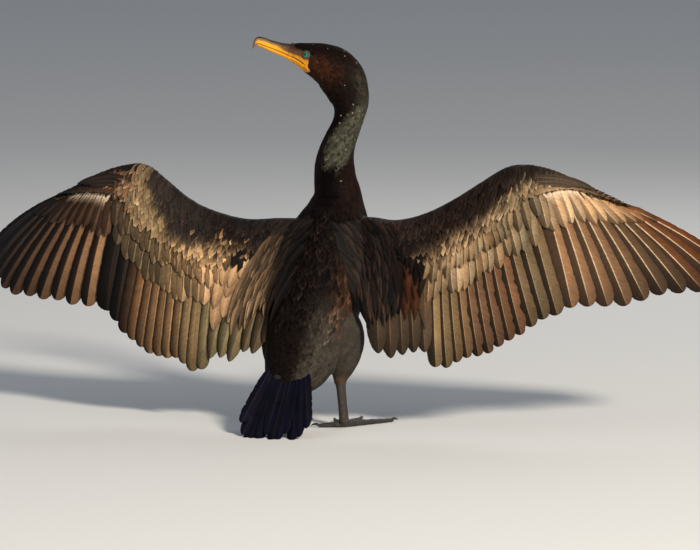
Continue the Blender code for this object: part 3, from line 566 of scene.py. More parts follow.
# How far from the shaft a feather's columns lie, from its rim inwards. The last two make a sharp shaft line.
PLAIN_ARM, FINE_ARM, SHAFT_ARM = (1, 0), (1, 0.5, 0), (1, 0.5, 0.08, 0)
FLIGHT_ARM = (1, 0.72, 0.45, 0.20, 0.05, 0)
CONTOUR = ((0.0, 0.35), (0.25, 0.80), (0.50, 1.0), (0.74, 0.88), (0.90, 0.56), (0.97, 0.28), (1.0, 0.06))
LONG = ((0.0, 0.30), (0.28, 0.92), (0.62, 1.0), (0.82, 0.86), (0.93, 0.58), (0.98, 0.30), (1.0, 0.08))
LANCE = ((0.0, 0.35), (0.22, 0.88), (0.45, 1.0), (0.65, 0.84), (0.82, 0.52), (0.94, 0.22), (1.0, 0.05))
SECONDARY = ((0.0, 0.32), (0.10, 0.60), (0.28, 0.95), (0.60, 1.0), (0.88, 1.0), (0.94, 0.90), (0.975, 0.68),
             (0.992, 0.42), (1.0, 0.14))
PRIMARY = ((0.0, 0.30), (0.10, 0.55), (0.28, 0.90), (0.60, 1.0), (0.88, 1.0), (0.94, 0.89), (0.975, 0.66),
           (0.992, 0.40), (1.0, 0.12))
TAIL_VANE = ((0.0, 0.32), (0.10, 0.60), (0.28, 0.95), (0.60, 1.0), (0.80, 0.97), (0.90, 0.80), (0.96, 0.55),
             (0.985, 0.34), (1.0, 0.12))
# How dark the lower face of every feather is, by colour channel.
UNDERSIDE = np.array((0.42, 0.44, 0.50))
# The angle past which an edge shades sharply, so that rims do not look like pillows.
SHARP_RIM = 70
# How much closer a feather's rows of points lie at its tip.
TIP_EASE = 1.3
# How finely a feather is built and how large its place on the coat's map is, by its size.
SMALL = {"rows": 7, "arm": FINE_ARM, "cell": 0.006}
LARGE = {"rows": 12, "arm": SHAFT_ARM, "rachis": 0.0004, "droop": 0.09, "sweep": 0.5, "cell": 0.014}


class Coat:
    """Feathers gathered into one mesh. The skin takes its colours from all their roots."""

    roots, root_tints = [], []

    def __init__(self):
        self.points, self.faces, self.tints, self.bake, self.vane = [], [], [], [], []
        self.count = 0

    def feather(self, frames, width, outline, look, place, rows=5, arm=PLAIN_ARM, thick=0.0003, droop=0.12,
                tilt=0.0, shaft=0.0, rachis=0.0, sweep=0.0, wear=None, cell=0.003):
        """One feather along a line of frames.

        outline gives shares of the width along it, shaft how far off its middle the shaft runs, and
        look(share, off shaft, side) its tint. place is where its middle lies on the coat's map and cell how
        large it is there. rachis is the shaft's own half width. wear takes bites from the edges.
        """
        line, side, normal = frames
        steps = np.linspace(0, 1, len(line))
        length = np.linalg.norm(np.diff(line, axis=0), axis=1).sum()
        edge = 1 - (1 - np.linspace(0, 1, rows)) ** TIP_EASE
        half = keyed(outline, edge) * width / 2
        base = np.maximum.accumulate(np.clip(edge - sweep * half / length, 0, 1))
        base[-1] = 1.0
        arm = np.array(arm, float)
        middle = [0.0] if rachis else []
        off = np.concatenate([arm, middle, arm[::-1] if rachis else arm[-2::-1]])
        signs = np.sign(np.arange(len(off)) - (len(off) - 1) / 2)
        s = base[:, None] + (edge - base)[:, None] * off
        shaft_x = (shaft * (1 - base ** 3) * keyed(outline, base) * width / 2)[:, None]
        stem = (rachis * (1 - 0.8 * base))[:, None]
        bites = wear(edge) if wear else np.ones((2, rows))
        rim = np.where(signs < 0, (-half * bites[0])[:, None], (half * bites[1])[:, None])
        near = shaft_x + signs * stem
        x = near + (rim - near) * off
        z = -np.abs(x - shaft_x) * droop * (0.4 + 0.6 * off) + stem * 0.9 * (signs == 0)
        x, z = x * math.cos(tilt) - z * math.sin(tilt), z * math.cos(tilt) + x * math.sin(tilt)
        f = np.stack([np.interp(s, steps, column) for column in np.hstack([line, side, normal]).T], axis=-1)
        top = f[..., :3] + f[..., 3:6] * x[..., None] + f[..., 6:9] * z[..., None]
        below = top - f[..., 6:9] * (thick * (1 - 0.6 * off))[None, :, None]
        vane = np.stack([x, s * length], axis=-1)
        spread = np.where(signs == 0, 0.0, signs * off)
        flat = np.stack([np.broadcast_to(spread, s.shape) * 0.5, s - 0.5], -1)
        flat = flat * np.asarray(cell) + np.asarray(place)

        def both(values, inner=None):
            inner = (values if inner is None else inner)[1:-1, 1:-1]
            return np.vstack([values.reshape(-1, values.shape[-1]), inner.reshape(-1, values.shape[-1])])

        points = above_floor(both(top, below))
        tints = look(s, np.broadcast_to(off, s.shape), np.broadcast_to(signs, s.shape))
        faces = sheet_faces(rows, len(off))
        if np.dot(np.cross(side[0], line[1] - line[0]), normal[0]) < 0:
            faces = faces[:, ::-1]
        self.points.append(points)
        self.faces.append(faces + self.count)
        self.tints.append(both(tints, tints * UNDERSIDE))
        self.vane.append(both(vane))
        self.bake.append(both(flat))
        self.count += len(points)
        Coat.roots.append(line[0])
        Coat.root_tints.append(tints[0, len(off) // 2])

    def piece(self, name, finish):
        maps = {"OFBake": np.vstack(self.bake), "vane": np.vstack(self.vane)}
        make_piece(name, np.vstack(self.points), [np.vstack(self.faces)], np.vstack(self.tints), finish,
                   maps=maps, sharp=SHARP_RIM)
        print(f"piece {name}: {2 * sum(len(f) for f in self.faces)} triangles, {len(self.faces)} feathers")


def scale_look(centre, rim, share=1.0, start=0.6, sides=0.8):
    """A small feather's tint: its middle, and a rim that is lighter or darker."""
    def look(s, off, side):
        edge = np.maximum(off ** 2 * sides, smooth(start, 1.0, s)) * share
        return mix(centre, rim, edge)
    return look


def vane_look(outer, inner, shaft, base=None, outer_rim=0.6, inner_rim=0.6, tip=0.6, tip_start=0.62):
    """A large feather's tint: its two vanes, each made darker or lighter towards its rim, its base, its tip
    and its shaft. A darker rim is painted shade, as in the gaps between overlapping feathers.
    """
    def look(s, off, side):
        out = (side > 0)[..., None]
        tint = np.where(out, outer, inner) * np.where(out, 1 + (outer_rim - 1) * off[..., None] ** 1.1,
                                                      1 + (inner_rim - 1) * off[..., None] ** 1.1)
        if base is not None:
            tint = mix(base, tint, smooth(0.12, 0.50, s))
        tint = tint * (1 - (1 - tip) * smooth(tip_start, 1.0, s))[..., None]
        return mix(tint, shaft, (off < 1e-6) * (1 - 0.8 * smooth(0.75, 1.0, s)))
    return look


def worn(bites, depth, fray=0.02):
    """Edges with a few random bites and a little fray."""
    marks = [(rng.integers(2), rng.uniform(0.45, 0.97), rng.uniform(0.015, 0.045),
              rng.uniform(0.4, 1.0) * depth) for _ in range(bites)]
    grain = rng.uniform(-fray, fray, (2, 64))

    def wear(edge):
        kept = np.ones((2, len(edge))) + grain[:, :len(edge)]
        for side, middle, half, deep in marks:
            kept[side] -= deep * np.clip(1 - np.abs(edge - middle) / half, 0, 1)
        return kept
    return wear


def varied(colour, amount):
    """A colour made lighter or darker at random, and a touch warmer or cooler."""
    warm = rng.normal(0, amount * 0.25)
    return np.clip(colour * (1 + rng.normal(0, amount)) * np.array((1 + warm, 1.0, 1 - warm)), 0.002, 0.95)


# Bodies round a line

UP = np.array((0, 0, 1.0))


def turns(sides):
    return np.linspace(0, 2 * math.pi, sides, endpoint=False)


def tube(middle, across, up, wide, high, turn):
    """Rings round the points of a line, with their half widths and half heights."""
    return middle[:, None] + across * (wide * np.cos(turn))[..., None] + up * (high * np.sin(turn))[..., None]


def above_floor(points):
    points[..., 2] = np.maximum(points[..., 2], FLOOR)
    return points


# The skin, one surface under the whole coat

def limb(points, radii, up):
    """A surface round a bent line, as a function of a number along it and an angle round it."""
    centres, sizes = list(enumerate(points)), list(enumerate(radii))

    def values(at):
        ahead = unit(between(centres, at + 0.05) - between(centres, at - 0.05))
        across = unit(np.cross(ahead, up))
        return np.hstack([between(centres, at), across, np.cross(across, ahead), between(sizes, at)])

    find = sampled(values, 0, len(points) - 1, 161)

    def point(at, angle, grow=0.0):
        v = find(at)
        reach = v[..., 9] + grow
        sideways, upward = reach * np.cos(angle), reach * np.sin(angle)
        return v[..., :3] + v[..., 3:6] * sideways[..., None] + v[..., 6:9] * upward[..., None]
    return point


def flip(point, left):
    point = np.array(point, float)
    return np.array((2 * HIP_MIDDLE - point[0], point[1], point[2])) if left else point


SHANKS = {side: limb([flip(p, side == "left") for p, _ in SHANK], [r for _, r in SHANK], (0, 1, 0))
          for side in ("left", "right")}
SKIN_VOXEL, THIGH_COAT, WING_COAT = 0.0023, 0.0009, 0.0010


def wing_ring(wing, at, inset):
    """The fleshy wing's outline at a feather number, a little inside the solid's."""
    lead, root, up, _, half = wing_parts(wing, at)
    chords = np.concatenate([0.5 - 0.5 * np.cos(np.linspace(0, math.pi, 12))[:-1], [1.06]])
    height = np.maximum(half * section_height(chords)[:, None] - inset, 0.0002)
    line = lead + (root - lead) * chords[:, None]
    line[0] += unit(root - lead) * inset
    return np.vstack([line + up * height, (line - up * height)[::-1]])


def tail_frame():
    ahead = unit(between(TAIL_TIPS, (TAIL_FEATHERS - 1) / 2) - TAIL_ROOT)
    side = unit(np.array((1.0, 0, 0)) - ahead * ahead[0])
    return ahead, side, np.cross(side, ahead)


# The tail's root: places along it, half widths and half heights.
TAIL_CORE = ((-0.030, 0.015, 0.009), (0.0, 0.021, 0.008), (0.022, 0.020, 0.005), (0.036, 0.016, 0.002))


def flesh_bodies():
    """Trunk, neck and head, the thighs, the wings and the tail's root."""
    arcs = np.linspace(0.0005, BODY_LENGTH, 150)[:, None]
    parts = [closed_loft(body_point(arcs, turns(56), -coat_depth(arcs)))]
    for shank in SHANKS.values():
        parts.append(closed_loft(shank(np.linspace(0, 4.4, 40)[:, None], turns(32), -THIGH_COAT)))
    for wing in WINGS.values():
        parts.append(closed_loft([wing_ring(wing, at, WING_COAT) for at in np.linspace(-3, 26.8, 70)]))
    ahead, side, up = tail_frame()
    place, wide, high = np.array(TAIL_CORE).T[..., None]
    parts.append(closed_loft(tube(TAIL_ROOT + ahead * place, side, up, wide, high, turns(24))))
    return merged(parts)


def joined(points, faces):
    """Points and quads of one surface round several bodies that run into each other."""
    mesh = bpy.data.meshes.new("flesh")
    mesh.from_pydata([tuple(p) for p in points], [], [tuple(f) for group in faces for f in group.tolist()])
    bm = bmesh.new()
    bm.from_mesh(mesh)
    bmesh.ops.recalc_face_normals(bm, faces=bm.faces)
    bm.to_mesh(mesh)
    bm.free()
    made = bpy.data.objects.new("flesh", mesh)
    bpy.context.scene.collection.objects.link(made)
    remesh = made.modifiers.new("join", "REMESH")
    remesh.mode, remesh.voxel_size = "VOXEL", SKIN_VOXEL
    ease = made.modifiers.new("ease", "SMOOTH")
    ease.factor, ease.iterations = 0.5, 5
    done = bpy.data.meshes.new_from_object(made.evaluated_get(bpy.context.evaluated_depsgraph_get()))
    places = np.empty(len(done.vertices) * 3, np.float32)
    done.vertices.foreach_get("co", places)
    corners = np.empty(len(done.loops), np.int32)
    done.loops.foreach_get("vertex_index", corners)
    bpy.data.objects.remove(made)
    bpy.data.meshes.remove(mesh)
    quads = corners.reshape(-1, 4).copy()
    bpy.data.meshes.remove(done)
    return places.reshape(-1, 3).astype(float), quads


SKIN_POINTS, SKIN_QUADS = joined(*flesh_bodies())
SKIN_TREE = BVHTree.FromPolygons([tuple(p) for p in SKIN_POINTS], SKIN_QUADS.tolist())
BURIED_DEPTH = 0.003


def buried(point):
    """Whether a point lies too deep in the flesh for a feather's root."""
    place, normal, _, _ = SKIN_TREE.find_nearest(Vector(point))
    return (Vector(point) - place).dot(normal) < -BURIED_DEPTH


# The coat of the body

BODY_TINTS = {
    "back": linear(4, 3, 4), "back_rim": linear(25, 18, 15), "rump": linear(13, 10, 9),
    "lit_flank": linear(53, 49, 44), "belly": linear(26, 20, 17), "rufous": linear(70, 47, 34),
    "lower_neck": linear(6, 4, 5), "rust": linear(30, 18, 14), "head": linear(16, 10, 8),
    "cheek": linear(52, 29, 18), "nape": linear(66, 66, 56), "speck": linear(170, 160, 140),
}
BACK = math.pi / 2
SPECK_CHANCE, PALE_FLECK = 0.008, 2.4
THIGH_TAN = linear(84, 62, 46)
# How far apart the rows of body feathers are, by body station.
ROW_STEPS = ((0, 0.0042), (NECK_START - 2, 0.0045), (NECK_START + 1, 0.0041), (NECK_START + 4, 0.0034),
             (HEAD_START, 0.0028), (HEAD_START + 2, 0.0022), (HEAD_START + 4, 0.0018), (HEAD_END, 0.0014))


def from_back(angle):
    """How far round the body an angle lies from the middle of the back, 0 to pi."""
    return np.abs((angle - BACK + math.pi) % (2 * math.pi) - math.pi)


def bare_face(station, turn):
    """Whether the face is bare at a body station and an angle from the crown."""
    h = station - HEAD_START
    rear = np.interp(turn, (1.0, 1.3, 1.75, 2.16, 2.34, 2.79, 3.14), (4.55, 4.06, 4.02, 3.92, 3.62, 4.0, 4.6))
    top = np.interp(h, (4.0, 4.5, 5.0, 5.57, 6.0), (1.12, 1.10, 1.12, 1.02, 0.75))
    return (h > rear) & (turn > top)


def body_colours(station, angle):
    """The middle and rim colours of a small feather at a place on the body."""
    turn = from_back(angle)
    right = math.cos(angle)
    centre, rim = BODY_TINTS["belly"], BODY_TINTS["belly"] * 1.25
    back = float(1 - smooth(1.0, 1.5, turn))
    centre, rim = mix(centre, BODY_TINTS["back"], back), mix(rim, BODY_TINTS["back_rim"], back)
    # Painted light: the right flank is lighter, where the key light falls, and the left stays as dark as the
    # belly.
    lit_flank = float(smooth(0.22, 0.80, right) * smooth(0.2, 1.5, station) * (1 - smooth(4.4, 6.0, station)))
    centre, rim = mix(centre, BODY_TINTS["lit_flank"], lit_flank), mix(rim, BODY_TINTS["lit_flank"] * 1.15, lit_flank)
    low = float(1 - smooth(1.0, 3.2, station))
    centre, rim = mix(centre, BODY_TINTS["rump"], low * 0.6), mix(rim, BODY_TINTS["rump"] * 1.3, low * 0.6)
    neck = float(smooth(NECK_START - 2, NECK_START + 0.5, station))
    rusty = float(smooth(0.2, 0.9, abs(right)) * (1 - smooth(NECK_START + 3, NECK_START + 6, station)))
    lower = mix(BODY_TINTS["lower_neck"], BODY_TINTS["rust"], rusty * 0.55)
    centre, rim = mix(centre, lower, neck), mix(rim, lower * 1.3, neck)
    head = float(smooth(NECK_START + 5, HEAD_START + 0.5, station))
    cheek = float(smooth(0.9, 1.8, turn) * (1 - smooth(2.5, 3.0, turn))
                  * smooth(HEAD_START + 0.5, HEAD_START + 3, station))
    cheek *= 0.82 + 0.4 * math.sin(8 * station + 2 * turn) * math.sin(7 * turn - 3 * station)
    top = mix(BODY_TINTS["head"], BODY_TINTS["cheek"], cheek)
    centre, rim = mix(centre, top, head), mix(rim, top * 1.35, head)
    ragged = 0.25 * math.sin(9 * angle) + 0.15 * math.sin(23 * angle + 1)
    broad = float(np.interp(station, (NECK_START + 2.5, NECK_START + 4.5), (0.45, 1.0)))
    grey = float(smooth(NECK_START + 2.6 + ragged, NECK_START + 3.3 + ragged, station)
                 * (1 - 0.6 * smooth(NECK_START + 6.4, HEAD_START + 0.2, station))
                 * (1 - smooth(HEAD_START + 0.8, HEAD_START + 2.0, station))
                 * (1 - smooth(0.70 * broad, 1.35 * broad, turn)))
    grey *= 0.62 + 0.38 * math.sin(7.3 * station + 3 * angle) * math.sin(11 * angle - 2.1 * station)
    return mix(centre, BODY_TINTS["nape"], grey), mix(rim, BODY_TINTS["nape"] * 1.5, grey)


def on_body(arc, length, lean, lift):
    """A surface for one feather on the body, which runs tailwards from its root and rises out of the coat."""
    def place(angle, share):
        depth = coat_depth(arc - length * share)
        rise = -depth + (depth + lift) * np.clip(share, 0, 1) ** 0.75
        return body_point(arc - length * share, angle + lean * share, rise)
    return place


def body_feather(coat, arc, angle, length, width, look, lift=0.0003, outline=CONTOUR, **shape):
    lean = rng.normal(0, 0.07)
    frames = frames_along(on_body(arc, length, lean, lift), angle, np.linspace(0, 1, 6), 0.05, -1)
    if buried(frames[0][0]):
        return
    place = ((angle / (2 * math.pi)) % 1.0, arc / BODY_LENGTH)
    coat.feather(frames, width, outline, look, place, thick=0.00018, **shape)


def is_mantle(station, angle):
    """Whether a place is on the upper back, which carries larger feathers."""
    edge = 1.28 + 0.08 * math.sin(3.7 * station)
    return 5.1 + 0.3 * math.sin(7 * angle) < station < NECK_START - 1.2 and from_back(angle) < edge


def body_rows(coat, first, last, seen):
    """Small feathers in rows round the body between two stations, where seen(station, angle) says so."""
    arc, row = float(arc_of(first)), 0
    end = float(arc_of(last))
    while arc < end:
        station = float(station_of(arc))
        step = float(keyed(ROW_STEPS, station))
        v = body_at(arc)
        count = int(2 * math.pi * math.sqrt((v[12] ** 2 + v[13] ** 2) / 2) / (step * 1.12))
        for i in range(count):
            angle = 2 * math.pi * (i + 0.5 * (row % 2) + rng.normal(0, 0.10)) / count
            if not seen(station, angle):
                continue
            centre, rim = body_colours(station + rng.normal(0, 0.12), angle)
            shade = max(rng.normal(1, 0.20), 0.4)
            look = scale_look(centre * shade, rim * shade * 1.15, 0.8)
            if station > NECK_START + 1 and rng.random() < SPECK_CHANCE:
                look = scale_look(centre, BODY_TINTS["speck"], 1.0, 0.94, 0.0)
            at, length = arc + rng.normal(0, 0.3) * step, step * rng.uniform(3.4, 4.8)
            body_feather(coat, at, angle, length, step * 2.0, look, lift=0.00015, droop=0.03)
        arc += step
        row += 1


def mantle_rows(coat):
    """The larger, scale-like feathers of the upper back."""
    step, spread = 0.0060, 0.0074
    arc, row = float(arc_of(4.4)), 0
    end = float(arc_of(NECK_START - 0.6))
    while arc < end:
        station = float(station_of(arc))
        v = body_at(arc)
        radius = (v[12] + v[13]) / 2
        count = int(1.42 * radius / spread)
        for i in range(-count, count + 1):
            angle = BACK + (i + 0.5 * (row % 2) + rng.normal(0, 0.10)) * spread / radius
            centre, rim = body_colours(station, angle)
            warm = float(smooth(0.55, 0.95, math.cos(angle)) * smooth(4.2, 5, station)
                         * (1 - smooth(6.8, 7.6, station)))
            warm *= rng.uniform(0.2, 0.8)
            centre = mix(centre, BODY_TINTS["rufous"] * 0.8, warm)
            rim = mix(rim, BODY_TINTS["rufous"] * 1.3, warm)
            shade = max(rng.normal(1, 0.30), 0.3)
            fleck = PALE_FLECK if rng.random() < 0.16 else 1.0
            at = arc + rng.normal(0, 0.0020)
            length, width = rng.uniform(0.022, 0.032), rng.uniform(0.0085, 0.0115)
            look = scale_look(centre * shade, rim * shade * fleck, 1.0, 0.72)
            body_feather(coat, at, angle, length, width, look, outline=LANCE, droop=0.06,
                         wear=worn(0, 0, 0.14), **SMALL)
        arc += step
        row += 1


def thigh_coat(coat, side):
    """The smooth feathers of a thigh, down to the hock."""
    shank = SHANKS[side]
    here = shank(2.0, 0.0)
    turned = np.dot(np.cross(shank(2.1, 0.0) - here, shank(2.0, 0.1) - here), shank(2.0, 0.0, 0.01) - here)
    sign = 1 if turned > 0 else -1
    # Painted light: the right thigh takes the lit flank's colour, and the left thigh the dark rump's.
    colour = BODY_TINTS["lit_flank"] if side == "right" else BODY_TINTS["rump"]
    at, row = 0.1, 0
    while at < 4.25:
        front, rear = shank(at, 0.0), shank(at, math.pi)
        radius = float(np.linalg.norm(front - rear)) / 2
        step = float(np.interp(at, (0, 3, 4.3), (0.0042, 0.0034, 0.0024)))
        pace = float(np.linalg.norm(shank(at + 0.1, 0.0) + shank(at + 0.1, math.pi) - front - rear)) * 5
        count = max(8, int(2 * math.pi * radius / (step * 1.1)))
        length = step * 3.8 / pace
        for i in range(count):
            angle = 2 * math.pi * (i + 0.5 * (row % 2) + rng.normal(0, 0.1)) / count
            start = at + rng.normal(0, 0.05)

            def place(a, share):
                rise = -THIGH_COAT + (THIGH_COAT + 0.00015) * np.clip(share, 0, 1) ** 0.75
                return shank(start + length * share, a, rise)

            frames = frames_along(place, angle, np.linspace(0, 1, 6), 0.05, sign)
            if buried(frames[0][0]):
                continue
            tan = float(smooth(2.8, 3.8, at)) if side == "right" else 0.0
            tone = varied(mix(colour, THIGH_TAN, tan * rng.uniform(0.2, 0.8)), 0.12)
            map_place = ((0.1 if side == "left" else 0.6) + 0.3 * (angle / (2 * math.pi) % 1), 0.05 + at / 5)
            coat.feather(frames, step * 2.0, CONTOUR, scale_look(tone, tone * 1.1), map_place, thick=0.00018,
                         droop=0.03)
        at += step / pace
        row += 1


def both_thighs(coat):
    for side in SHANKS:
        thigh_coat(coat, side)


def body_coat():
    neck, head = NECK_START - 0.4, HEAD_START + 0.3
    parts = {
        "trunk": lambda coat: body_rows(coat, 0.15, neck, lambda s, a: not is_mantle(s, a)),
        "mantle": mantle_rows,
        "thigh": both_thighs,
        "neck": lambda coat: body_rows(coat, neck, head, lambda s, a: True),
        "head": lambda coat: body_rows(coat, head, HEAD_END - 0.1,
                                       lambda s, a: not bare_face(s, from_back(a))),
    }
    for name, grow in parts.items():
        coat = Coat()
        grow(coat)
        coat.piece(f"{name}_feathers", "body_feather")


# The wings' feathers

# Colours along the flight feathers: their outer and inner vanes, shafts, and how dark the vanes' rims are.
# The two wings' plumage is alike, and these colours paint light and shade over it. On the right wing the
# outer vanes are painted lit and the inner ones shaded; on the left wing it is the other way round. There is
# painted shadow at the rims and on the left wing's secondaries next to the primaries, a painted blue sky
# reflection on the left wing's outer primaries, and a painted orange glow of sunlight through the right
# wing's outer primaries.
FLIGHT_TINTS = {
    "right": {
        "outer": colour_keys(((-1, (60, 46, 35)), (2, (72, 58, 44)), (4.4, (92, 75, 57)), (5, (130, 110, 79)),
                              (8, (120, 94, 66)), (9, (124, 90, 66)), (13, (122, 87, 62)),
                              (14.5, (110, 95, 70)), (16.5, (122, 101, 74)), (17, (138, 102, 72)),
                              (20, (122, 90, 64)), (21.5, (84, 63, 43)), (23, (78, 57, 38)),
                              (24, (92, 55, 29)), (26, (98, 54, 26)))),
        "inner": colour_keys(((-1, (48, 37, 29)), (5, (52, 43, 32)), (8, (46, 35, 27)), (14, (44, 37, 29)),
                              (16.3, (44, 35, 27)), (17, (66, 49, 36)), (20, (60, 45, 33)),
                              (23, (48, 36, 26)), (26, (62, 36, 20)))),
        "shaft": linear(196, 172, 138),
        "rims": (0.62, 0.7),
    },
    "left": {
        "outer": colour_keys(((-1, (82, 67, 51)), (2, (106, 92, 68)), (4, (124, 111, 82)),
                              (6, (128, 110, 80)), (9, (120, 92, 64)), (13, (114, 82, 56)),
                              (14.3, (18, 13, 11)), (16.5, (18, 14, 11)), (17, (40, 28, 20)),
                              (22, (30, 22, 18)), (26, (17, 17, 22)))),
        "inner": colour_keys(((-1, (98, 81, 61)), (2, (130, 115, 84)), (4, (140, 126, 92)),
                              (6, (122, 102, 72)), (9, (134, 106, 74)), (13, (128, 94, 62)),
                              (14.3, (28, 21, 17)), (16.2, (32, 24, 19)), (17, (142, 108, 78)),
                              (20, (114, 84, 60)), (23, (78, 58, 44)), (26, (34, 31, 34)))),
        "shaft": linear(58, 42, 31),
        "rims": (0.0, 0.8),
    },
}
# How far off the middle a primary's shaft lies, and how much wider the left wing's last secondary is.
OUTER_SHAFT, LEFT_FOLD = 0.36, 1.35
# Feather numbers of the flight feathers that are widened at their ends, and by how much.
FLIGHT_SPREAD = ((4, 1.10), (15, 1.12), (16, 1.05), (17, 0.90), (18, 1.06), (22, 1.30), (26, 1.22))


def flight_feathers(name):
    """The wing's flight feathers, each with its outer edge over the next one out."""
    wing, colours = WINGS[name], FLIGHT_TINTS[name]
    total = LAST_PRIMARY + 1
    outer_rim, inner_rim = colours["rims"]
    coat = Coat()
    for at in range(0 if name == "right" else -1, total):
        primary, humeral = at >= FIRST_PRIMARY, at < FIRST_SECONDARY
        uneven = 0.012 if primary else 0.045 if humeral else 0.028
        reach = (1 if at >= 0 else 0.95) + rng.uniform(-1, 1) * uneven

        def place(n, share):
            return flight_point(wing, n, share * reach)

        frames = frames_along(place, at, np.linspace(0, 1, 15), 0.3, wing["sign"])
        amount = 0.06 if primary or humeral else 0.13
        outer, inner = varied(colours["outer"](at), amount), varied(colours["inner"](at), amount)
        frayed = name == "right" and 8 <= at <= 13
        shaft = mix(outer * 0.8, colours["shaft"], 1.0 if primary else 0.15 if humeral else 0.4)
        look = vane_look(outer, inner, shaft, None, outer_rim, inner_rim, 0.55)
        width = float(between(FLIGHT_WIDTH, at)) * float(between(FLIGHT_SPREAD, at))
        width *= LEFT_FOLD if name == "left" and at == FIRST_PRIMARY - 1 else 1
        outline = PRIMARY if primary else LONG if humeral else SECONDARY
        shaft_off, rachis = (OUTER_SHAFT, 0.0006) if primary else (0.22, 0.0004)
        tilt = float(np.interp(at, (18, 26), (0.113, 0.227)))
        coat.feather(frames, width, outline, look, ((at + 1.5) / (total + 1), 0.5), rows=44, arm=FLIGHT_ARM,
                     thick=0.0004, droop=0.14, tilt=tilt, shaft=shaft_off, rachis=rachis, sweep=0.7,
                     wear=worn(6, 0.26, 0.05) if frayed else worn(1, 0.1, 0.03),
                     cell=(0.9 / (total + 1), 0.96))
    coat.piece(f"flight_feathers_{name}", "wing_feather")


def covert(coat, wing, at, root, end, width, lift, look, top=1, outline=LONG, **shape):
    """A covert rooted on the wing at a distance behind the flight feathers' roots, and ending at another."""
    lean, louvre = rng.normal(0, 0.12), 0.10 + rng.normal(0, 0.04)

    def place(n, share):
        height = -0.0012 + (lift + 0.0012) * np.clip(share, 0, 1.1)
        return np.array([wing_point(wing, n + lean * s * s, root + (end - root) * s, h, top)
                         for s, h in zip(share, height)])

    frames = frames_along(place, at, np.linspace(0, 1, 9), 0.3, wing["sign"] * top)
    map_place = ((at + 4) / 33, 0.5 + top * (0.14 + root) * 2.2)
    coat.feather(frames, width, outline, look, map_place, tilt=louvre * top, **shape)


def spaced(wing, first, last, root, spacing):
    """Feather numbers along the wing whose roots lie a spacing apart."""
    at = first
    while at <= last:
        yield at
        near, far = wing_point(wing, at - 0.2, root, 0.0), wing_point(wing, at + 0.2, root, 0.0)
        at += spacing / max(float(np.linalg.norm(far - near) / 0.4), 1e-4)


def chord_length(wing, at):
    lead, root = wing_parts(wing, at)[:2]
    return float(np.linalg.norm(root - lead))


# Both wings have the same plumage; these colours paint light over it. The left wing's hand is painted darker,
# as in shade turned away from the key light, and the right wing's hand is painted lighter where the light
# falls on it.
COVERT_COLOURS = {
    "right": colour_keys(((-3, (90, 72, 52)), (3, (120, 98, 72)), (8, (156, 129, 98)), (16, (124, 105, 79)),
                          (18, (178, 146, 112)), (22, (156, 124, 90)), (26, (108, 70, 42)))),
    "left": colour_keys(((-3, (90, 72, 54)), (3, (138, 110, 80)), (8, (158, 128, 92)), (13, (112, 94, 68)),
                         (16, (92, 74, 54)), (17, (84, 60, 44)), (21, (64, 46, 35)), (26, (36, 30, 29)))),
}
LEADING_COLOURS = {
    "right": colour_keys(((-3, (26, 19, 16)), (10, (27, 19, 16)), (16, (28, 21, 17)), (20, (46, 38, 30)),
                          (26, (58, 40, 27)))),
    "left": colour_keys(((-3, (21, 15, 13)), (6, (20, 14, 12)), (14, (24, 18, 15)), (26, (20, 17, 17)))),
}
PEACH, PALE_ROOT, INNER_RUST = linear(206, 164, 122), linear(220, 196, 168), linear(74, 42, 26)
# How far behind the leading edge the dark feathers reach, by feather number.
DARK_ZONE = {
    "right": ((-3, 0.30), (2, 0.16), (4, 0.092), (8, 0.074), (12, 0.072), (14, 0.062), (16, 0.042),
              (20, 0.018), (26, 0.02)),
    "left": ((-3, 0.30), (2, 0.12), (3.2, 0.074), (4.5, 0.062), (6, 0.068), (8, 0.083), (11, 0.080),
             (14, 0.042), (15.5, 0.016), (17, 0.006), (20, 0.010), (26, 0.02)),
}


def share_of_zone(name, at, root):
    """How far behind the leading edge a root lies, as a share of the dark feathers' reach."""
    return (chord_length(WINGS[name], at) + root) / (float(keyed(DARK_ZONE[name], at)) + 0.003)


def covert_tone(name, at, root, amount, scatter=0.06):
    """A covert's colour by its feather number and its distance behind the flight feathers' roots."""
    light = float(smooth(0.82, 1.18, share_of_zone(name, at, root) + rng.normal(0, scatter)))
    return varied(mix(LEADING_COLOURS[name](at), COVERT_COLOURS[name](at), light), amount)


# Rows of large coverts: first and last feather number, how many, root and end behind the flight feathers'
# roots, width and height over the wing.
LARGE_ROWS = (
    ("greater", 4.7, 16.8, 16, -0.016, 0.055, 0.0205, 0.0028),
    ("primary", 17.1, 26.2, 11, -0.010, 0.056, 0.0180, 0.0030),
    ("median", 4.6, 16.5, 21, -0.028, 0.028, 0.0165, 0.0046),
    ("primary_median", 16.9, 25.8, 14, -0.022, -0.003, 0.0105, 0.0034),
)
SCAPULAR_ROWS = (
    (-1.0, 4.4, 8, -0.016, 0.088, 0.0230, 0.0040), (-1.4, 4.3, 10, -0.030, 0.060, 0.0200, 0.0060),
    (-2.0, 4.3, 12, -0.042, 0.036, 0.0180, 0.0072), (-2.5, 4.3, 14, -0.052, 0.016, 0.0160, 0.0076),
)


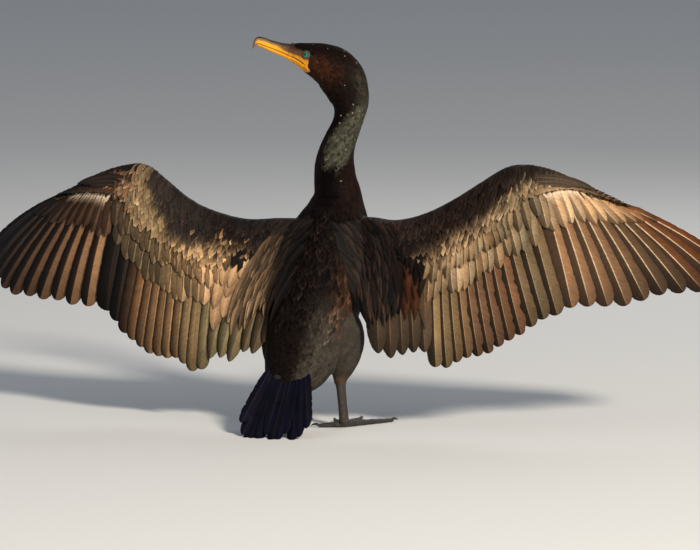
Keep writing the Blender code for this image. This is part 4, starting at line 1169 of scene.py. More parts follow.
def large_coverts(name):
    """The wing's coverts that have a shaft of their own, and the feathers of its inner end."""
    wing = WINGS[name]
    coat = Coat()
    shaft = FLIGHT_TINTS[name]["shaft"]
    for kind, first, last, count, root, end, width, lift in LARGE_ROWS:
        for i in range(count):
            at = first + (last - first) * i / (count - 1) + rng.normal(0, 0.04)
            tone = covert_tone(name, at, root + 0.75 * (end - root), 0.20)
            if name == "left" and kind != "primary" and at < 6.2:
                tone = mix(PEACH, tone, 0.15)
            # Painted light: the vane on the side the key light falls on is lighter and the other is darker,
            # the outer vane on the right wing and the inner vane on the left.
            lit, dim = (tone * 1.3, tone * 0.5) if name == "right" else (tone * 0.5, tone * 1.25)
            pale = shaft * (0.8 if kind in ("greater", "primary") else 0.45)
            base = PALE_ROOT if kind == "primary" and at < 23 else None
            look = vane_look(lit, dim, pale, base, tip=0.7)
            jitter = rng.normal(0, 0.0015 if "primary" in kind else 0.0045)
            covert(coat, wing, at, root, end + jitter, width * rng.uniform(0.94, 1.08), lift, look, shaft=0.2,
                   wear=worn(1, 0.2, 0.06), **LARGE)
    for first, last, count, root, end, width, lift in SCAPULAR_ROWS:
        for i in range(count):
            at = first + (last - first) * i / (count - 1) + rng.normal(0, 0.06)
            tone = covert_tone(name, at, root + 0.03, 0.25)
            if name == "right" and root > -0.045 and 2.8 < at < 3.7:
                tone = INNER_RUST
            pale = name == "left" and root > -0.045 and at > 2.6
            if pale:
                tone = mix(PEACH, tone, rng.uniform(0.05, 0.3))
            look = vane_look(tone * 1.15, tone * 0.75, tone * 0.6)
            outline, uneven_end = LONG if pale else LANCE, end + rng.normal(0, 0.007)
            covert(coat, wing, at, root, uneven_end, width * rng.uniform(0.90, 1.10), lift, look,
                   outline=outline, wear=worn(1, 0.25, 0.08), **LARGE)
    coat.piece(f"coverts_{name}", "wing_feather")


def lesser_coverts(name):
    """The small scale-like feathers of the arm and hand, in rows up to the leading edge."""
    wing = WINGS[name]
    coat = Coat()
    for row in range(15):
        root = -0.034 - 0.0058 * row
        length = 0.032 - 0.0010 * row
        width = 0.0125 - 0.00036 * row
        lift = 0.0052 - 0.00024 * row
        for at in spaced(wing, -2.8 + 0.3 * (row % 2), 26.6, root, width * 0.62):
            chord = chord_length(wing, at)
            if -root > chord + 0.002:
                continue
            size = float(np.interp(at, (15, 19, 26), (1.0, 0.62, 0.5)))
            if at > 16.5 and -root > 0.6 * chord + 0.02:
                continue
            behind = share_of_zone(name, at, root + length * 0.7)
            tone = covert_tone(name, at, root + length * 0.7, 0.25, 0.16)
            pale = float(smooth(0.55, 0.95, behind) * (1 - smooth(1.5, 2.2, behind)))
            rim = tone * rng.uniform(1.2, 4.0)
            rim = mix(rim, COVERT_COLOURS[name](at) * 1.5, pale * rng.uniform(0.4, 1.0))
            place_root = max(root, -chord + 0.0015) + rng.normal(0, 0.0016)
            place_at = at + rng.normal(0, 0.08)
            end = place_root + length * size * rng.uniform(0.85, 1.15)
            covert(coat, wing, place_at, place_root, end, width * size * rng.uniform(0.92, 1.1), lift * size,
                   scale_look(tone, rim, 0.9, 0.62), outline=LANCE, droop=0.08, wear=worn(0, 0, 0.12),
                   **SMALL)
    hand_rows(coat, name)
    coat.piece(f"lesser_coverts_{name}", "wing_feather")


def hand_rows(coat, name):
    """The small feathers of the hand, between its leading edge and the large coverts."""
    wing = WINGS[name]
    for row in range(4):
        for at in spaced(wing, 16.2, 26.6, -0.012, 0.0068):
            chord = chord_length(wing, at)
            root = -chord * (0.45 + 0.17 * row)
            tone = varied(mix(COVERT_COLOURS[name](at), LEADING_COLOURS[name](at), 0.4 + 0.2 * row), 0.12)
            end = min(root + 0.021, -0.003) - 0.0015 * row
            covert(coat, wing, at + 0.3 * (row % 2), max(root, -chord + 0.001), end, 0.0115 - 0.001 * row,
                   0.0046 - 0.0008 * row, scale_look(tone, tone * 1.4, 0.9, 0.75), outline=CONTOUR,
                   droop=0.09, wear=worn(0, 0, 0.10), **SMALL)


# Where the alula is rooted, and the end and width of each of its feathers.
ALULA_ROOT, ALULA = 16.9, ((20.6, 0.0110), (21.6, 0.0110), (22.6, 0.0100))


def alula(name):
    """Three stiff feathers that lie along the leading edge, outwards from the wrist."""
    wing = WINGS[name]
    coat = Coat()
    for i, (end, width) in enumerate(ALULA):
        def place(n, share):
            at = ALULA_ROOT + (end - ALULA_ROOT) * share
            lead, root = wing_parts(wing, at)[:2]
            chord = np.linalg.norm(root - lead, axis=-1)
            return wing_point(wing, at, -chord * (0.34 + 0.12 * i) + n * 0.01,
                              0.0030 + 0.0014 * share + 0.0006 * i)

        frames = frames_along(place, 0.0, np.linspace(0, 1, 9), 0.1, -wing["sign"])
        # The left alula is painted darker, as in the shade of the hand turned away from the key light.
        tone = linear(66, 54, 42) if name == "right" else linear(44, 35, 30)
        look = vane_look(tone * 1.3, tone * 0.8, tone * 0.6)
        coat.feather(frames, width, LONG, look, (0.2 + 0.3 * i, 0.5), rows=14, arm=SHAFT_ARM, rachis=0.0005,
                     shaft=-0.2, sweep=0.5, cell=(0.2, 0.9))
    coat.piece(f"alula_{name}", "wing_feather")


# Rows of the lining's large coverts, as in LARGE_ROWS.
UNDER_ROWS = ((4.7, 26.3, 24, -0.010, 0.050, 0.0215, 0.0018), (4.0, 26.0, 26, -0.024, 0.030, 0.0190, 0.0030))


def under_coverts(name):
    """The wing's lining."""
    wing = WINGS[name]
    coat = Coat()
    tone_at = colour_keys(((-3, (58, 47, 38)), (10, (70, 57, 45)), (26, (78, 62, 50))))
    for first, last, count, root, end, width, lift in UNDER_ROWS:
        for i in range(count):
            at = first + (last - first) * i / (count - 1)
            tone = varied(tone_at(at), 0.1)
            size = float(np.interp(at, (16, 20, 26), (1.0, 0.85, 0.62)))
            covert(coat, wing, at, root * size, end * size, width * size, lift * size,
                   vane_look(tone, tone * 0.85, tone * 1.4), top=-1, rows=9, arm=SHAFT_ARM,
                   rachis=0.0004, cell=0.014)
    for row in range(9):
        root = -0.030 - 0.0090 * row
        for at in spaced(wing, -2.6 + 0.4 * (row % 2), 26.4, root, 0.0100):
            chord = chord_length(wing, at)
            size = float(np.interp(at, (15, 19, 26), (1.0, 0.6, 0.45)))
            if -root * size > chord:
                continue
            tone = varied(tone_at(at) * 0.85, 0.1)
            start, end = max(root * size, -chord + 0.001), root * size + 0.027 * size
            covert(coat, wing, at, start, end, 0.0155 * size, 0.0040 * size, scale_look(tone, tone * 1.25),
                   top=-1, outline=CONTOUR, rows=6, arm=FINE_ARM, cell=0.006)
    coat.piece(f"under_coverts_{name}", "wing_feather")


# The shoulder feathers, draped from the back over the roots of the wings

SCAPULAR_TIERS, OLIVE = 9, linear(124, 100, 75)
# Where they are rooted and where they end, as x and height: the inner and outer one of the lowest tier, then
# of the highest.
SCAPULARS = {
    "right": {"roots": ((0.012, 0.232), (0.078, 0.246), (-0.004, 0.290), (0.070, 0.283)),
              "tips": ((0.062, 0.142), (0.106, 0.154), (0.014, 0.272), (0.094, 0.262))},
    "left": {"roots": ((-0.038, 0.236), (-0.104, 0.246), (-0.026, 0.292), (-0.082, 0.283)),
             "tips": ((-0.078, 0.146), (-0.152, 0.130), (-0.046, 0.272), (-0.106, 0.262))},
}


def shoulder_support():
    """What the shoulder feathers lie on: the flesh, the trunk's coat and the coverts at the wings' roots."""
    parts = [(SKIN_POINTS, [SKIN_QUADS])]
    arcs = np.linspace(float(arc_of(1)), float(arc_of(NECK_START + 1)), 60)[:, None]
    parts.append(closed_loft(body_point(arcs, turns(60), 0.0008)))
    backs, index = np.linspace(-0.075, 0.10, 50), np.arange(50 * 50).reshape(50, 50)
    for wing in WINGS.values():
        grid = [wing_point(wing, at, backs, np.full(50, 0.0060)) for at in np.linspace(-2.5, 8, 50)]
        parts.append((np.vstack(grid), [grid_quads(index[:, :-1], index[:, 1:])]))
    points, faces = merged(parts)
    return BVHTree.FromPolygons([tuple(p) for p in points], [f for group in faces for f in group.tolist()])


def corner_blend(corners, across, up):
    """A place between four corners: the inner and outer one of the low side, then of the high side."""
    low = mix(corners[0], corners[1], across)
    return low * (1 - up) + mix(corners[2], corners[3], across) * up


def scapulars(name):
    tree = shoulder_support()
    layout = SCAPULARS[name]
    sign = WINGS[name]["sign"]
    coat = Coat()

    def drape(flat):
        hits = [tree.ray_cast(Vector((x, -0.3, z)), Vector((0, 1, 0)))[0] for x, z in flat]
        depth = np.array([hit.y if hit else np.nan for hit in hits])
        known = ~np.isnan(depth)
        depth = np.interp(np.arange(len(depth)), np.flatnonzero(known), depth[known])
        for _ in range(3):
            depth[1:-1] = (depth[:-2] + 2 * depth[1:-1] + depth[2:]) / 4
        return np.stack([flat[:, 0], depth, flat[:, 1]], -1)

    for tier in range(SCAPULAR_TIERS):
        up = tier / (SCAPULAR_TIERS - 1)
        count = 7 + tier
        for i in range(count):
            across = (i + 0.5 * (tier % 2) + rng.normal(0, 0.15)) / count
            root = corner_blend(layout["roots"], across, up) + rng.normal(0, 0.0015, 2)
            uneven = (0.0035, 0.0035 + 0.006 * (1 - up))
            tip = corner_blend(layout["tips"], across, up) + rng.normal(0, 1, 2) * uneven
            length = float(np.linalg.norm(tip - root))
            aside = np.array((root[1] - tip[1], tip[0] - root[0])) / length * sign

            def place(n, share):
                share = np.asarray(share)[:, None]
                bow = 0.05 * length * 4 * share * (1 - share)
                return drape(root + (tip - root) * share + aside * (n + bow))

            line, side, normal = frames_along(place, 0.0, np.linspace(0, 1, 11), 0.005, sign)
            rise = np.linspace(-0.0015, 0.0012 + 0.030 * length, 11)
            tone = varied(covert_tone(name, -1 + 5 * across, -0.02, 0.0), 0.42) * (1 - 0.4 * up)
            if name == "left":
                olive = float(smooth(0.0, 0.5, across)) * (1 - 0.95 * up) * rng.uniform(0.2, 1.0)
                tone = mix(tone, OLIVE, olive)
            look = vane_look(tone * 1.2, tone * 0.6, tone * 0.5, None, 1.6, 0.5, rng.uniform(0.8, 2.2), 0.75)
            width = 0.0095 + 0.070 * length
            coat.feather((line + normal * rise[:, None], side, normal), width, LANCE, look,
                         (0.5 + 0.45 * across, 0.1 + 0.8 * up), rows=14, arm=SHAFT_ARM, rachis=0.0005,
                         droop=0.09, tilt=0.08, sweep=0.5, wear=worn(1, 0.25, 0.07), cell=0.03)
    coat.piece(f"scapulars_{name}", "wing_feather")


# The tail

# The tail's blue-black and its shafts' bluish grey are painted shade: near-black feathers as in shadow under
# a blue sky.
TAIL_DARK, TAIL_BROWN, TAIL_SHAFT = linear(1, 8, 24), linear(50, 37, 29), linear(22, 24, 31)
TAIL_COVERT_DARK = linear(15, 12, 12)
# How far each feather reaches, worn ones less.
TAIL_REACH = (0.97, 0.985, 1.0, 0.985, 0.96, 0.86, 0.98, 0.95, 0.84, 1.0, 0.97, 0.97)
# How much narrower the feathers are than the solids' ones, so that their tips part.
TAIL_CLOSING = 0.86
# Tiers over the tail's root: share of the tail's length, width, rise and how many feathers.
TAIL_COVERTS = ((0.50, 0.013, 0.0036, 15), (0.41, 0.012, 0.0046, 15), (0.32, 0.011, 0.0054, 13),
                (0.24, 0.010, 0.0060, 13))


def tail_surface(root, tip, side, rise):
    """A straight feather's surface from root to tip, bowed up a little."""
    along = unit(tip - root)
    across = unit(side - along * (side @ along))
    normal = np.cross(across, along)

    def place(n, share):
        share = np.asarray(share)[..., None]
        lift = rise * np.minimum(share / 0.3, 1)
        return root + (tip - root) * share + across * n + normal * lift
    return place


def tail_feathers():
    ahead, side, up = tail_frame()
    middle = (TAIL_FEATHERS - 1) / 2
    coat = Coat()
    for i in range(TAIL_FEATHERS):
        out = i - middle
        root = TAIL_ROOT + side * (TAIL_ROOT_SPREAD * out / middle) + ahead * 0.004
        rise = 0.0010 if i == TAIL_FEATHERS // 2 else 0.0
        place = tail_surface(root, root + (between(TAIL_TIPS, i) - root) * TAIL_REACH[i], side, rise)
        frames = frames_along(place, 0.0, np.linspace(0, 1, 9), 0.001, 1)
        tone = varied(TAIL_DARK, 0.12)
        outer = mix(tone, TAIL_BROWN, rng.uniform(0.0, 0.14))
        look = vane_look(outer, tone * 0.8, TAIL_SHAFT, tone, 0.5, 0.5, 1.6)
        coat.feather(frames, TAIL_WIDTH * TAIL_CLOSING, TAIL_VANE, look, ((i + 0.5) / TAIL_FEATHERS, 0.5),
                     rows=36, arm=FLIGHT_ARM, thick=0.0006, tilt=math.copysign(0.20, out),
                     shaft=math.copysign(0.10, out), rachis=0.0006, sweep=0.7, wear=worn(3, 0.25, 0.05),
                     cell=(0.075, 0.96))
    for tier, (share, width, rise, count) in enumerate(TAIL_COVERTS):
        for i in range(count):
            out = (i - (count - 1) / 2) * 7 / count
            root = TAIL_ROOT + side * (0.0056 * out) + up * 0.006 - ahead * (0.004 + 0.007 * tier)
            end = root + (between(TAIL_TIPS, middle + out * 1.5) - root) * share * rng.uniform(0.9, 1.1)
            place = tail_surface(root, end + up * 0.001, side, rise)
            frames = frames_along(place, 0.0, np.linspace(0, 1, 7), 0.001, 1)
            tone = varied(TAIL_COVERT_DARK, 0.25)
            coat.feather(frames, width, LANCE, vane_look(tone, tone, tone),
                         (0.05 + 0.9 * i / count, 0.2 + 0.3 * tier), rows=9, arm=FINE_ARM,
                         tilt=0.12 * np.sign(out), cell=0.02)
    coat.piece("tail_feathers", "tail_feather")


body_coat()
for wing_name in WINGS:
    flight_feathers(wing_name)
    large_coverts(wing_name)
    lesser_coverts(wing_name)
    alula(wing_name)
    under_coverts(wing_name)
    scapulars(wing_name)
tail_feathers()


# The skin takes the colours of the feathers that grow on it

FLESH_NODES = ("torso", "neck_lower", "neck_upper", "head", "shank_left", "shank_right", "wing_left",
               "wing_right", "tail")


def skin_piece():
    tree = kdtree.KDTree(len(Coat.roots))
    for i, root in enumerate(Coat.roots):
        tree.insert(Vector(root), i)
    tree.balance()
    nearest = [tree.find(Vector(p))[1] for p in SKIN_POINTS]
    # Three quarters as bright as the roots' tints: painted shade on the skin under the coat.
    tints = np.array(Coat.root_tints)[nearest] * 0.75
    make_piece("skin", SKIN_POINTS, [SKIN_QUADS], tints, "flesh", FLESH_NODES)


skin_piece()


# The head: bare face, eyes with lids, and the bill

FACE = {
    "lore": linear(84, 58, 38), "gular": linear(255, 172, 6), "gular_dark": linear(240, 140, 8),
    "gape": linear(226, 150, 34), "hidden": linear(20, 13, 10), "ring": linear(98, 74, 54),
}


def face_piece():
    """The bare skin of the lores, gape and throat pouch, with the mouth's line running back under the eye."""
    arcs = np.linspace(float(arc_of(HEAD_START + 2.4)), float(arc_of(HEAD_END)) + 0.004, 110)[:, None]
    angles = turns(140)
    h = station_of(arcs) - HEAD_START + np.zeros(len(angles))
    turn = from_back(angles) + np.zeros((len(arcs), 1))
    mouth = np.interp(h, (3.9, 4.1, 5.0, 6.0), (2.24, 2.17, 2.10, 2.03))
    pouch = smooth(0.0, 0.12, turn - mouth) * smooth(3.4, 3.9, h)
    groove = np.exp(-((turn - mouth) / 0.032) ** 2) * smooth(4.15, 4.6, h)
    folds = np.sin(turn * 34 + 1.2 * np.sin(h * 4)) * 0.00022 * pouch * smooth(4.0, 5.2, h)
    pleat = np.sin(h * 9 + turn * 5) * 0.00012 * (1 - pouch) * smooth(4.6, 5.0, h)
    corner = 0.0007 * np.exp(-(((h - 4.05) / 0.22) ** 2 + ((turn - 2.30) / 0.16) ** 2))
    depth = -0.00045 + 0.0003 * pouch + folds + pleat + corner - 0.0011 * groove
    points, faces = closed_loft(body_point(arcs, angles, depth))
    bare = bare_face(h + HEAD_START, turn)
    speckle = 0.5 + 0.5 * np.sin(h * 31 + 4 * turn) * np.sin(turn * 37 - 9 * h)
    lore = FACE["lore"] * (0.30 + 0.70 * smooth(1.0, 1.5, turn) + 0.7 * (speckle - 0.5))[..., None]
    tint = mix(lore, FACE["gape"], smooth(1.60, 1.88, turn + 0.12 * (speckle - 0.5)))
    yellow = mix(FACE["gular_dark"], FACE["gular"], smooth(3.9, 4.5, h))
    tint = mix(tint, yellow, smooth(-0.02, 0.05, turn - mouth))
    tint = mix(tint, FACE["lore"] * 0.3, groove * 0.85)
    tint = np.where(bare[..., None], tint, FACE["hidden"])
    ends = np.array([FACE["hidden"], FACE["gular"] * 0.4])
    make_piece("face_skin", points, faces, np.vstack([tint.reshape(-1, 3), ends]), "bare_face",
               ("throat_skin",))


def eye_frames():
    """Name, centre, outward direction and the two directions across it of each eye."""
    v = body_values(EYE_STATION)
    centre, ahead, side, back, half_width = v[:3], v[3:6], v[6:9], v[9:12], v[12]
    for name, sign in (("left", -1), ("right", 1)):
        middle = centre + side * sign * (half_width - EYE_DEPTH) + back * EYE_RISE + ahead * 0.0024
        out = unit(side * sign + ahead * 0.54)
        up = unit(back - out * (back @ out))
        yield name, middle, out, np.cross(up, out), up


def eye_pieces():
    iris, dark, limbus = linear(8, 102, 82), linear(4, 5, 6), linear(6, 34, 28)
    polar = np.concatenate([np.linspace(0.02, 0.9, 40), np.linspace(0.95, 3.1, 24)])
    around = turns(64)
    radius = EYE_RADIUS + 0.00025 * np.exp(-(polar / 0.45) ** 2)
    rim = (radius * np.sin(polar))[:, None, None]
    far = EYE_RADIUS * np.sin(polar)
    tint = mix(dark, iris, smooth(1.0, 1.12, far / PUPIL_RADIUS))
    tint = mix(tint, iris * 1.5, smooth(0.0018, 0.0028, far) * (1 - smooth(0.003, 0.0037, far)) * 0.5)
    tint = mix(tint, limbus, smooth(0.0037, 0.0042, far))
    tints = np.vstack([np.repeat(tint, len(around), axis=0), [dark, limbus]])
    streak = np.stack([np.cos(around) * 2 + np.zeros((64, 1)), np.sin(around) * 2 + far[:, None] * 30], -1)
    maps = {"vane": np.vstack([streak.reshape(-1, 2), [(0, 0), (0, 0)]])}
    for name, middle, out, across, up in eye_frames():
        points = (middle + out * (radius * np.cos(polar))[:, None, None]
                  + rim * (across * np.cos(around)[:, None] + up * np.sin(around)[:, None]))
        shape, faces = closed_loft(points)
        make_piece(f"eye_globe_{name}", shape, faces, tints, "eye_wet", (f"eye_{name}",), maps)


LID_OPENING, LID_WIDTH, LID_EDGE = 0.0043, 0.0018, linear(52, 44, 38)


def lid_pieces():
    """A ring of bare skin round each eye, a little almond in its opening, beaded along its edge."""
    around, section = turns(120), turns(14)
    beads = 1 + 0.10 * np.abs(np.sin(around * 14))
    wide = LID_OPENING * (1 + 0.05 * np.cos(2 * around))
    inner = wide[:, None] + LID_WIDTH / 2 * (1 + np.cos(section))
    base = np.sqrt(EYE_RADIUS ** 2 - wide ** 2)[:, None] - 0.35 * (inner - wide[:, None])
    height = base + 0.00055 * np.sin(section) * beads[:, None] + 0.0001
    index = np.arange(120 * 14).reshape(120, 14)
    ahead, over = np.roll(index, -1, 0), np.roll(index, -1, 1)
    faces = np.stack([index, over, np.roll(over, -1, 0), ahead], -1).reshape(-1, 4)
    tint = mix(LID_EDGE, FACE["ring"], smooth(0.0, 0.4, (inner - wide[:, None]) / LID_WIDTH)).reshape(-1, 3)
    for name, middle, out, across, up in eye_frames():
        turn = across * np.cos(around)[:, None] + up * np.sin(around)[:, None]
        points = middle + out * height[..., None] + turn[:, None] * inner[..., None]
        make_piece(f"eyelids_{name}", points.reshape(-1, 3), [faces], tint, "bare_face")


HORN = {
    "side": linear(118, 94, 64), "ridge": linear(34, 27, 23), "yellow": linear(238, 164, 30),
    "fleck": linear(176, 158, 126), "tip": linear(92, 74, 52),
}
# Points of a jaw's section over its outer side and over its flat inner side, where the jaws meet.
OUTER_POINTS, INNER_POINTS = 41, 6


def jaw_section(place, upper, high, low, width, across):
    """One ring of a jaw, its turn from the edge to the ridge and back, and the groove along its side."""
    angle = np.linspace(0, math.pi, OUTER_POINTS)
    turn = np.sin(angle)
    outer, inner = (high, low + 0.00012) if upper else (low, high - 0.00012)
    rise, groove = turn ** 0.8, 0 * turn
    if upper:
        groove = np.exp(-((turn - 0.72) / 0.10) ** 2) * (1 - float(smooth(0.66, 0.84, place)))
        rise = rise + 0.05 * np.exp(-((angle - math.pi / 2) / 0.2) ** 2) * (1 - rise * 0.5)
    spread = np.cos(angle) * (1 - 0.16 * groove)
    heights = inner + (outer - inner) * np.minimum(rise, 1.02)
    flat = BILL_ROOT + (BILL_TIP - BILL_ROOT) * place
    ring = np.stack([np.full(OUTER_POINTS, flat[0]), np.full(OUTER_POINTS, flat[1]), heights], -1)
    ring = ring + across * (width * spread)[:, None]
    back = np.linspace(ring[-1], ring[0], INNER_POINTS + 2)[1:-1]
    back[:, 2] -= (0.0004 if upper else -0.0004) * np.sin(np.linspace(0, math.pi, INNER_POINTS + 2)[1:-1])
    return np.vstack([ring, back]), angle, groove


def jaw_tints(place, upper, angle, groove):
    """The colours of one ring: yellow below, horn with blotches above, dark along the ridge and the mouth."""
    turn, tone = np.sin(angle), HORN["yellow"]
    if upper:
        blotch = 0.5 + 0.5 * np.sin(place * 71 + 3 * angle) * np.sin(place * 47 - 11 * angle)
        base = float(1 - smooth(0.0, 0.45, place))
        side = smooth(0.30 - 0.12 * base, 0.54 - 0.14 * base, turn + 0.2 * (blotch - 0.5))
        tone = mix(tone, HORN["side"], side)
        tone = mix(tone, FACE["lore"], smooth(0.08, 0.30, turn) * float(1 - smooth(0.10, 0.42, place)))
        tone = mix(tone, HORN["fleck"], (rng.random(OUTER_POINTS) < 0.14) * smooth(0.4, 0.6, turn) * 0.6)
        tone = mix(tone, HORN["ridge"], smooth(0.66, 0.86, turn + 0.10 * (blotch - 0.5)) * 0.92)
    tip = float(smooth(0.84, 0.97, place)) if upper else float(smooth(0.6, 0.88, place)) * 0.4
    tone = mix(tone, HORN["tip"], np.full(OUTER_POINTS, tip * 0.8))
    seam = (1 - smooth(0.02, 0.12, turn)) * (0.75 if upper else 0.3)
    # Darker in the side groove: painted shade in the recess.
    tone = mix(tone * (1 - 0.4 * groove[:, None]), HORN["ridge"], seam)
    return np.vstack([tone, np.tile(HORN["yellow"] * 0.3, (INNER_POINTS, 1))])


def bill_pieces():
    """Both jaws, with the ridge and side groove of the upper one and the hooked nail at its tip."""
    across = unit(np.cross(BILL_TIP - BILL_ROOT, (0, 0, 1)))
    jaws = (("upper", BILL_RIDGE, BILL_MOUTH, 1.0), ("lower", BILL_MOUTH, BILL_UNDER, 0.88))
    for name, top, bottom, last in jaws:
        upper = name == "upper"
        rings, tints = [], []
        for place in np.linspace(-0.14, last, 90):
            high, low = float(between(top, place)), float(between(bottom, place))
            width = float(between(BILL_HALF_WIDTH, place)) * (1.0 if upper else 0.92)
            ring, angle, groove = jaw_section(place, upper, high, low, width, across)
            rings.append(ring)
            tints.append(jaw_tints(place, upper, angle, groove))
        points, faces = closed_loft(rings)
        tints += [tints[0][:1], tints[-1][:1]]
        make_piece(f"jaw_{name}", points, faces, np.vstack(tints), "bill_horn",
                   (f"bill_{name}",))


face_piece()
eye_pieces()
lid_pieces()
bill_pieces()


# The legs

# A toe's height over the floor and its radius, by share of its length.
TOE_HEIGHT = ((0.0, 0.0062), (0.10, 0.0045), (0.32, 0.0036), (0.60, 0.0031), (0.86, 0.0022), (1.0, 0.0022))
TOE_RADIUS = ((0.0, 0.0056), (0.10, 0.0050), (0.32, 0.0042), (0.60, 0.0037), (0.86, 0.0030), (1.0, 0.0027))
TARSUS_RADIUS = ((0, 0.0074), (0.2, 0.0064), (0.6, 0.0060), (1.0, 0.0068))
# Joints of each toe, as shares of its length.
KNUCKLES = {"hallux": (0.30, 0.82), "inner": (0.30, 0.62, 0.88), "middle": (0.24, 0.48, 0.70, 0.90),
            "outer": (0.20, 0.40, 0.58, 0.75, 0.90)}
RING_STEP, SCUTE_STEP, PAD = 0.0007, 0.0024, (0.0076, 0.0076, 0.0070)
CLAW_LENGTH, CLAW_BEND, CLAW_RADIUS, WEB_SAG, WEB_REACH, WEB_HEIGHT = 0.011, 1.15, 0.0024, 0.20, 0.97, 0.0011
LEG_TONE, WEB_TONE = linear(46, 37, 31), linear(18, 22, 33)
CLAW_TONES = linear(46, 40, 36), linear(20, 18, 18)


def toe_heading(heading, left):
    angle = math.radians(heading)
    return np.array((math.sin(angle) * (-1 if left else 1), math.cos(angle), 0.0))


def toe(start, name, heading, length, left):
    """One toe with its joints and the scutes across its top."""
    ahead = toe_heading(heading, left)
    across = np.array((ahead[1], -ahead[0], 0.0))
    shares = np.linspace(0, 1, int(length / RING_STEP))
    height, radius = keyed(TOE_HEIGHT, shares), keyed(TOE_RADIUS, shares)
    for joint in KNUCKLES[name]:
        radius = radius * (1 + 0.13 * np.exp(-((shares - joint) * length / 0.0032) ** 2))
    turn = turns(22)
    scute = ((shares * length / SCUTE_STEP) % 1)[:, None]
    over = np.clip(np.sin(turn), 0, 1)[None]
    reach = radius[:, None] * (1 + 0.07 * (scute - 0.5) * over)
    middle = np.stack([start[0] + ahead[0] * length * shares, start[1] + ahead[1] * length * shares, height],
                      -1)
    rings = above_floor(tube(middle, across, UP, reach, reach, turn))
    shade = 0.85 + 0.3 * scute * over
    return closed_loft(rings), np.append(shade.ravel(), (1, 1)), middle[-1]


def web(ankle, near, far):
    """The skin between two toes, wrinkled across, with a scalloped rim."""
    u, v = np.linspace(0, 1, 46)[:, None], np.linspace(0, 1, 40)[None]
    rim = near + (far - near) * v[..., None]
    reach = (1 - WEB_SAG * np.sin(math.pi * v)) * WEB_REACH
    flat = ankle + (rim - ankle) * reach[..., None] * u[..., None]
    ribs = 0.00022 * np.sin(v * 40) * np.sin(math.pi * v) * smooth(0.05, 0.4, u)
    cross = 0.00012 * np.sin(u * 60 + 5 * v)
    top, below = flat.copy(), flat.copy()
    thick = 0.0006 * (1 - 0.5 * smooth(0.85, 1.0, u))
    top[..., 2] = WEB_HEIGHT + thick + ribs + cross
    below[..., 2] = WEB_HEIGHT - thick
    grid = np.arange(46 * 40).reshape(46, 40)
    upper = np.stack([grid[:-1, :-1], grid[1:, :-1], grid[1:, 1:], grid[:-1, 1:]], -1).reshape(-1, 4)
    rim_line = np.concatenate([grid[0], grid[1:, -1], grid[-1, -2::-1], grid[-2:0:-1, 0]])
    after = np.roll(rim_line, -1)
    wall = np.stack([rim_line, after, after + grid.size, rim_line + grid.size], -1)
    return np.vstack([top.reshape(-1, 3), below.reshape(-1, 3)]), [upper, upper[:, ::-1] + grid.size, wall]


def tarsus(hock, ankle):
    """The tube from hock to ankle, with its tints. Scutes cross its front."""
    rings, turn = 80, turns(32)
    shares = np.linspace(0, 1, rings)
    down = unit(ankle - hock)
    across = unit(np.cross(down, (0, 1, 0)))
    front = np.clip(-np.sin(turn), 0, 1)[None] ** 0.7
    scute = ((shares * 22) % 1)[:, None]
    reach = keyed(TARSUS_RADIUS, shares)[:, None] * (1 + 0.06 * (0.5 - scute) * front)
    middle = hock + (ankle - hock) * shares[:, None]
    shape = above_floor(tube(middle, across, np.cross(across, down), reach, reach * 1.35, turn))
    shade = np.append((0.82 + 0.36 * scute * front).ravel(), (1, 1))
    return closed_loft(shape), np.tile(LEG_TONE, (len(shade), 1)) * shade[:, None]


def foot_pad(ankle):
    polar, around = np.linspace(0.1, 3.04, 20)[:, None], turns(28)
    wide, high = np.sin(polar), np.cos(polar) + 0 * around
    pad = np.stack([wide * np.cos(around), wide * np.sin(around), high], -1)
    return closed_loft(above_floor(ankle + pad * PAD))


def leg_piece(side):
    """Tarsus, toes and webs of one leg."""
    left = side == "left"
    ankle = flip(ANKLE, left)
    shape, tint = tarsus(flip(HOCK, left), ankle)
    parts, tints, ends = [shape], [tint], []
    for name, heading, length in TOES:
        shape, shade, end = toe(ankle, name, heading, length, left)
        parts.append(shape)
        tints.append(np.outer(shade, mix(LEG_TONE, WEB_TONE, 0.45)))
        ends.append(end)
    for near, far in zip(ends, ends[1:]):
        parts.append(web(ankle * (1, 1, 0), near * (1, 1, 0), far * (1, 1, 0)))
        tints.append(np.tile(WEB_TONE, (len(parts[-1][0]), 1)))
    parts.append(foot_pad(ankle))
    tints.append(np.tile(LEG_TONE, (len(parts[-1][0]), 1)))
    points, faces = merged(parts)
    make_piece(f"leg_{side}", points, faces, np.vstack(tints), "scaly_leg",
               (f"tarsus_{side}", f"foot_{side}"))


def claw_pieces(side):
    left = side == "left"
    share, turn = np.linspace(0, 1, 26), turns(16)
    along = (CLAW_LENGTH + 0.0012) * np.sin(CLAW_BEND * share) / math.sin(CLAW_BEND)
    radius = (CLAW_RADIUS * (1 - share) ** 0.75 + 0.00015)[:, None]
    tint = mix(*CLAW_TONES, np.append(np.repeat(share, len(turn)), (0, 1)))
    for name, heading, length in TOES:
        ahead = toe_heading(heading, left)
        across = np.array((ahead[1], -ahead[0], 0.0))
        start = flip(ANKLE, left) + ahead * (length - 0.0008)
        middle = np.array((start[0], start[1], 0.0026)) + ahead * along[:, None]
        middle[:, 2] += 0.0022 * np.sin(math.pi * share ** 0.8) - 0.0012 * share
        points, faces = closed_loft(above_floor(tube(middle, across, UP, radius * 0.85, radius, turn)))
        make_piece(f"nail_{name}_{side}", points, faces, tint, "claw_horn",
                   (f"claw_{name}_{side}",))


for leg_side in ("left", "right"):
    leg_piece(leg_side)
    claw_pieces(leg_side)


# Floor, light and camera

KEY_LIGHT, FILL_LIGHT, FRONT_LIGHT = (1.0, 0.88, 0.72), (0.84, 0.92, 1.0), (1.0, 0.98, 0.95)
FLOOR_COLOUR, SKY_COLOUR, SKY_STRENGTH = (0.66, 0.68, 0.70, 1), (0.80, 0.86, 0.95, 1), 0.28


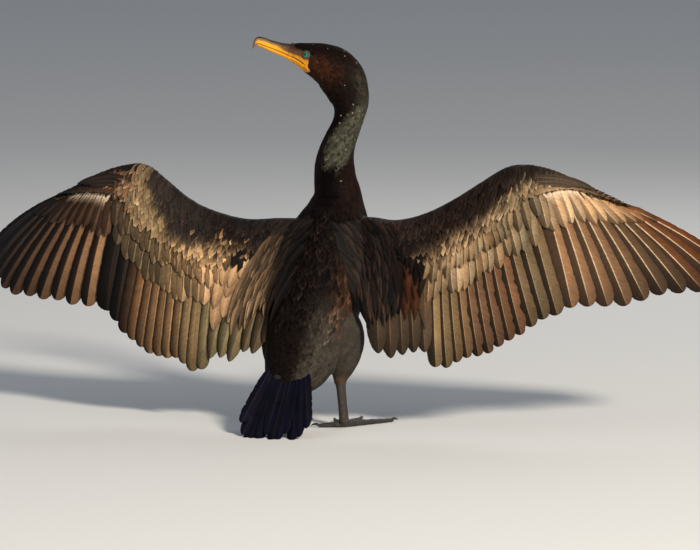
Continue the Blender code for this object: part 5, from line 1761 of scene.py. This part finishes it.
def camera():
    right = np.array((math.cos(CAMERA_AZIMUTH), math.sin(CAMERA_AZIMUTH), 0.0))
    back = np.array((math.sin(CAMERA_AZIMUTH) * math.cos(CAMERA_RISE),
                     -math.cos(CAMERA_AZIMUTH) * math.cos(CAMERA_RISE), math.sin(CAMERA_RISE)))
    up = np.cross(back, right)
    aim = right * AIM_RIGHT + up * AIM_UP - BOX_CENTRE
    data = bpy.data.cameras.new("camera")
    data.lens = SENSOR * 1000 * CAMERA_DISTANCE / METRES_ACROSS
    data.sensor_width = SENSOR * 1000
    data.clip_end = 50
    made = bpy.data.objects.new("camera", data)
    made.location = aim + back * CAMERA_DISTANCE
    made.rotation_euler = Vector(-back).to_track_quat("-Z", "Y").to_euler()
    bpy.context.scene.collection.objects.link(made)
    bpy.context.scene.camera = made


def area_light(name, place, aim, size, power, colour):
    data = bpy.data.lights.new(name, "AREA")
    data.shape, data.size, data.energy, data.color = "DISK", size, power, colour
    made = bpy.data.objects.new(name, data)
    made.location = place
    made.rotation_euler = (Vector(aim) - Vector(place)).to_track_quat("-Z", "Y").to_euler()
    bpy.context.scene.collection.objects.link(made)


def floor_piece():
    """A wide pale floor, just under the feet."""
    mesh = bpy.data.meshes.new("floor")
    bm = bmesh.new()
    bmesh.ops.create_grid(bm, x_segments=1, y_segments=1, size=30)
    bm.to_mesh(mesh)
    bm.free()
    floor = bpy.data.objects.new("floor", mesh)
    floor.location.z = -0.0004
    finish = bpy.data.materials.new("pale_floor")
    finish.use_nodes = True
    shader = finish.node_tree.nodes["Principled BSDF"]
    shader.inputs["Base Color"].default_value = FLOOR_COLOUR
    shader.inputs["Roughness"].default_value = 0.9
    mesh.materials.append(finish)
    bpy.context.scene.collection.objects.link(floor)


def studio():
    floor_piece()
    area_light("key", (4.9, -5.0, 4.0), (0, 0, 0.25), 1.3, 900, KEY_LIGHT)
    area_light("fill", (-2.6, -2.2, 1.6), (0, 0, 0.2), 2.4, 8, FILL_LIGHT)
    area_light("front", (0.3, 3.0, 2.4), (0, 0, 0.3), 2.2, 22, FRONT_LIGHT)
    world = bpy.data.worlds.new("studio")
    world.use_nodes = True
    background = world.node_tree.nodes["Background"]
    background.inputs["Color"].default_value = SKY_COLOUR
    background.inputs["Strength"].default_value = SKY_STRENGTH
    bpy.context.scene.world = world
    bpy.context.scene.view_settings.view_transform = "Standard"


studio()
camera()
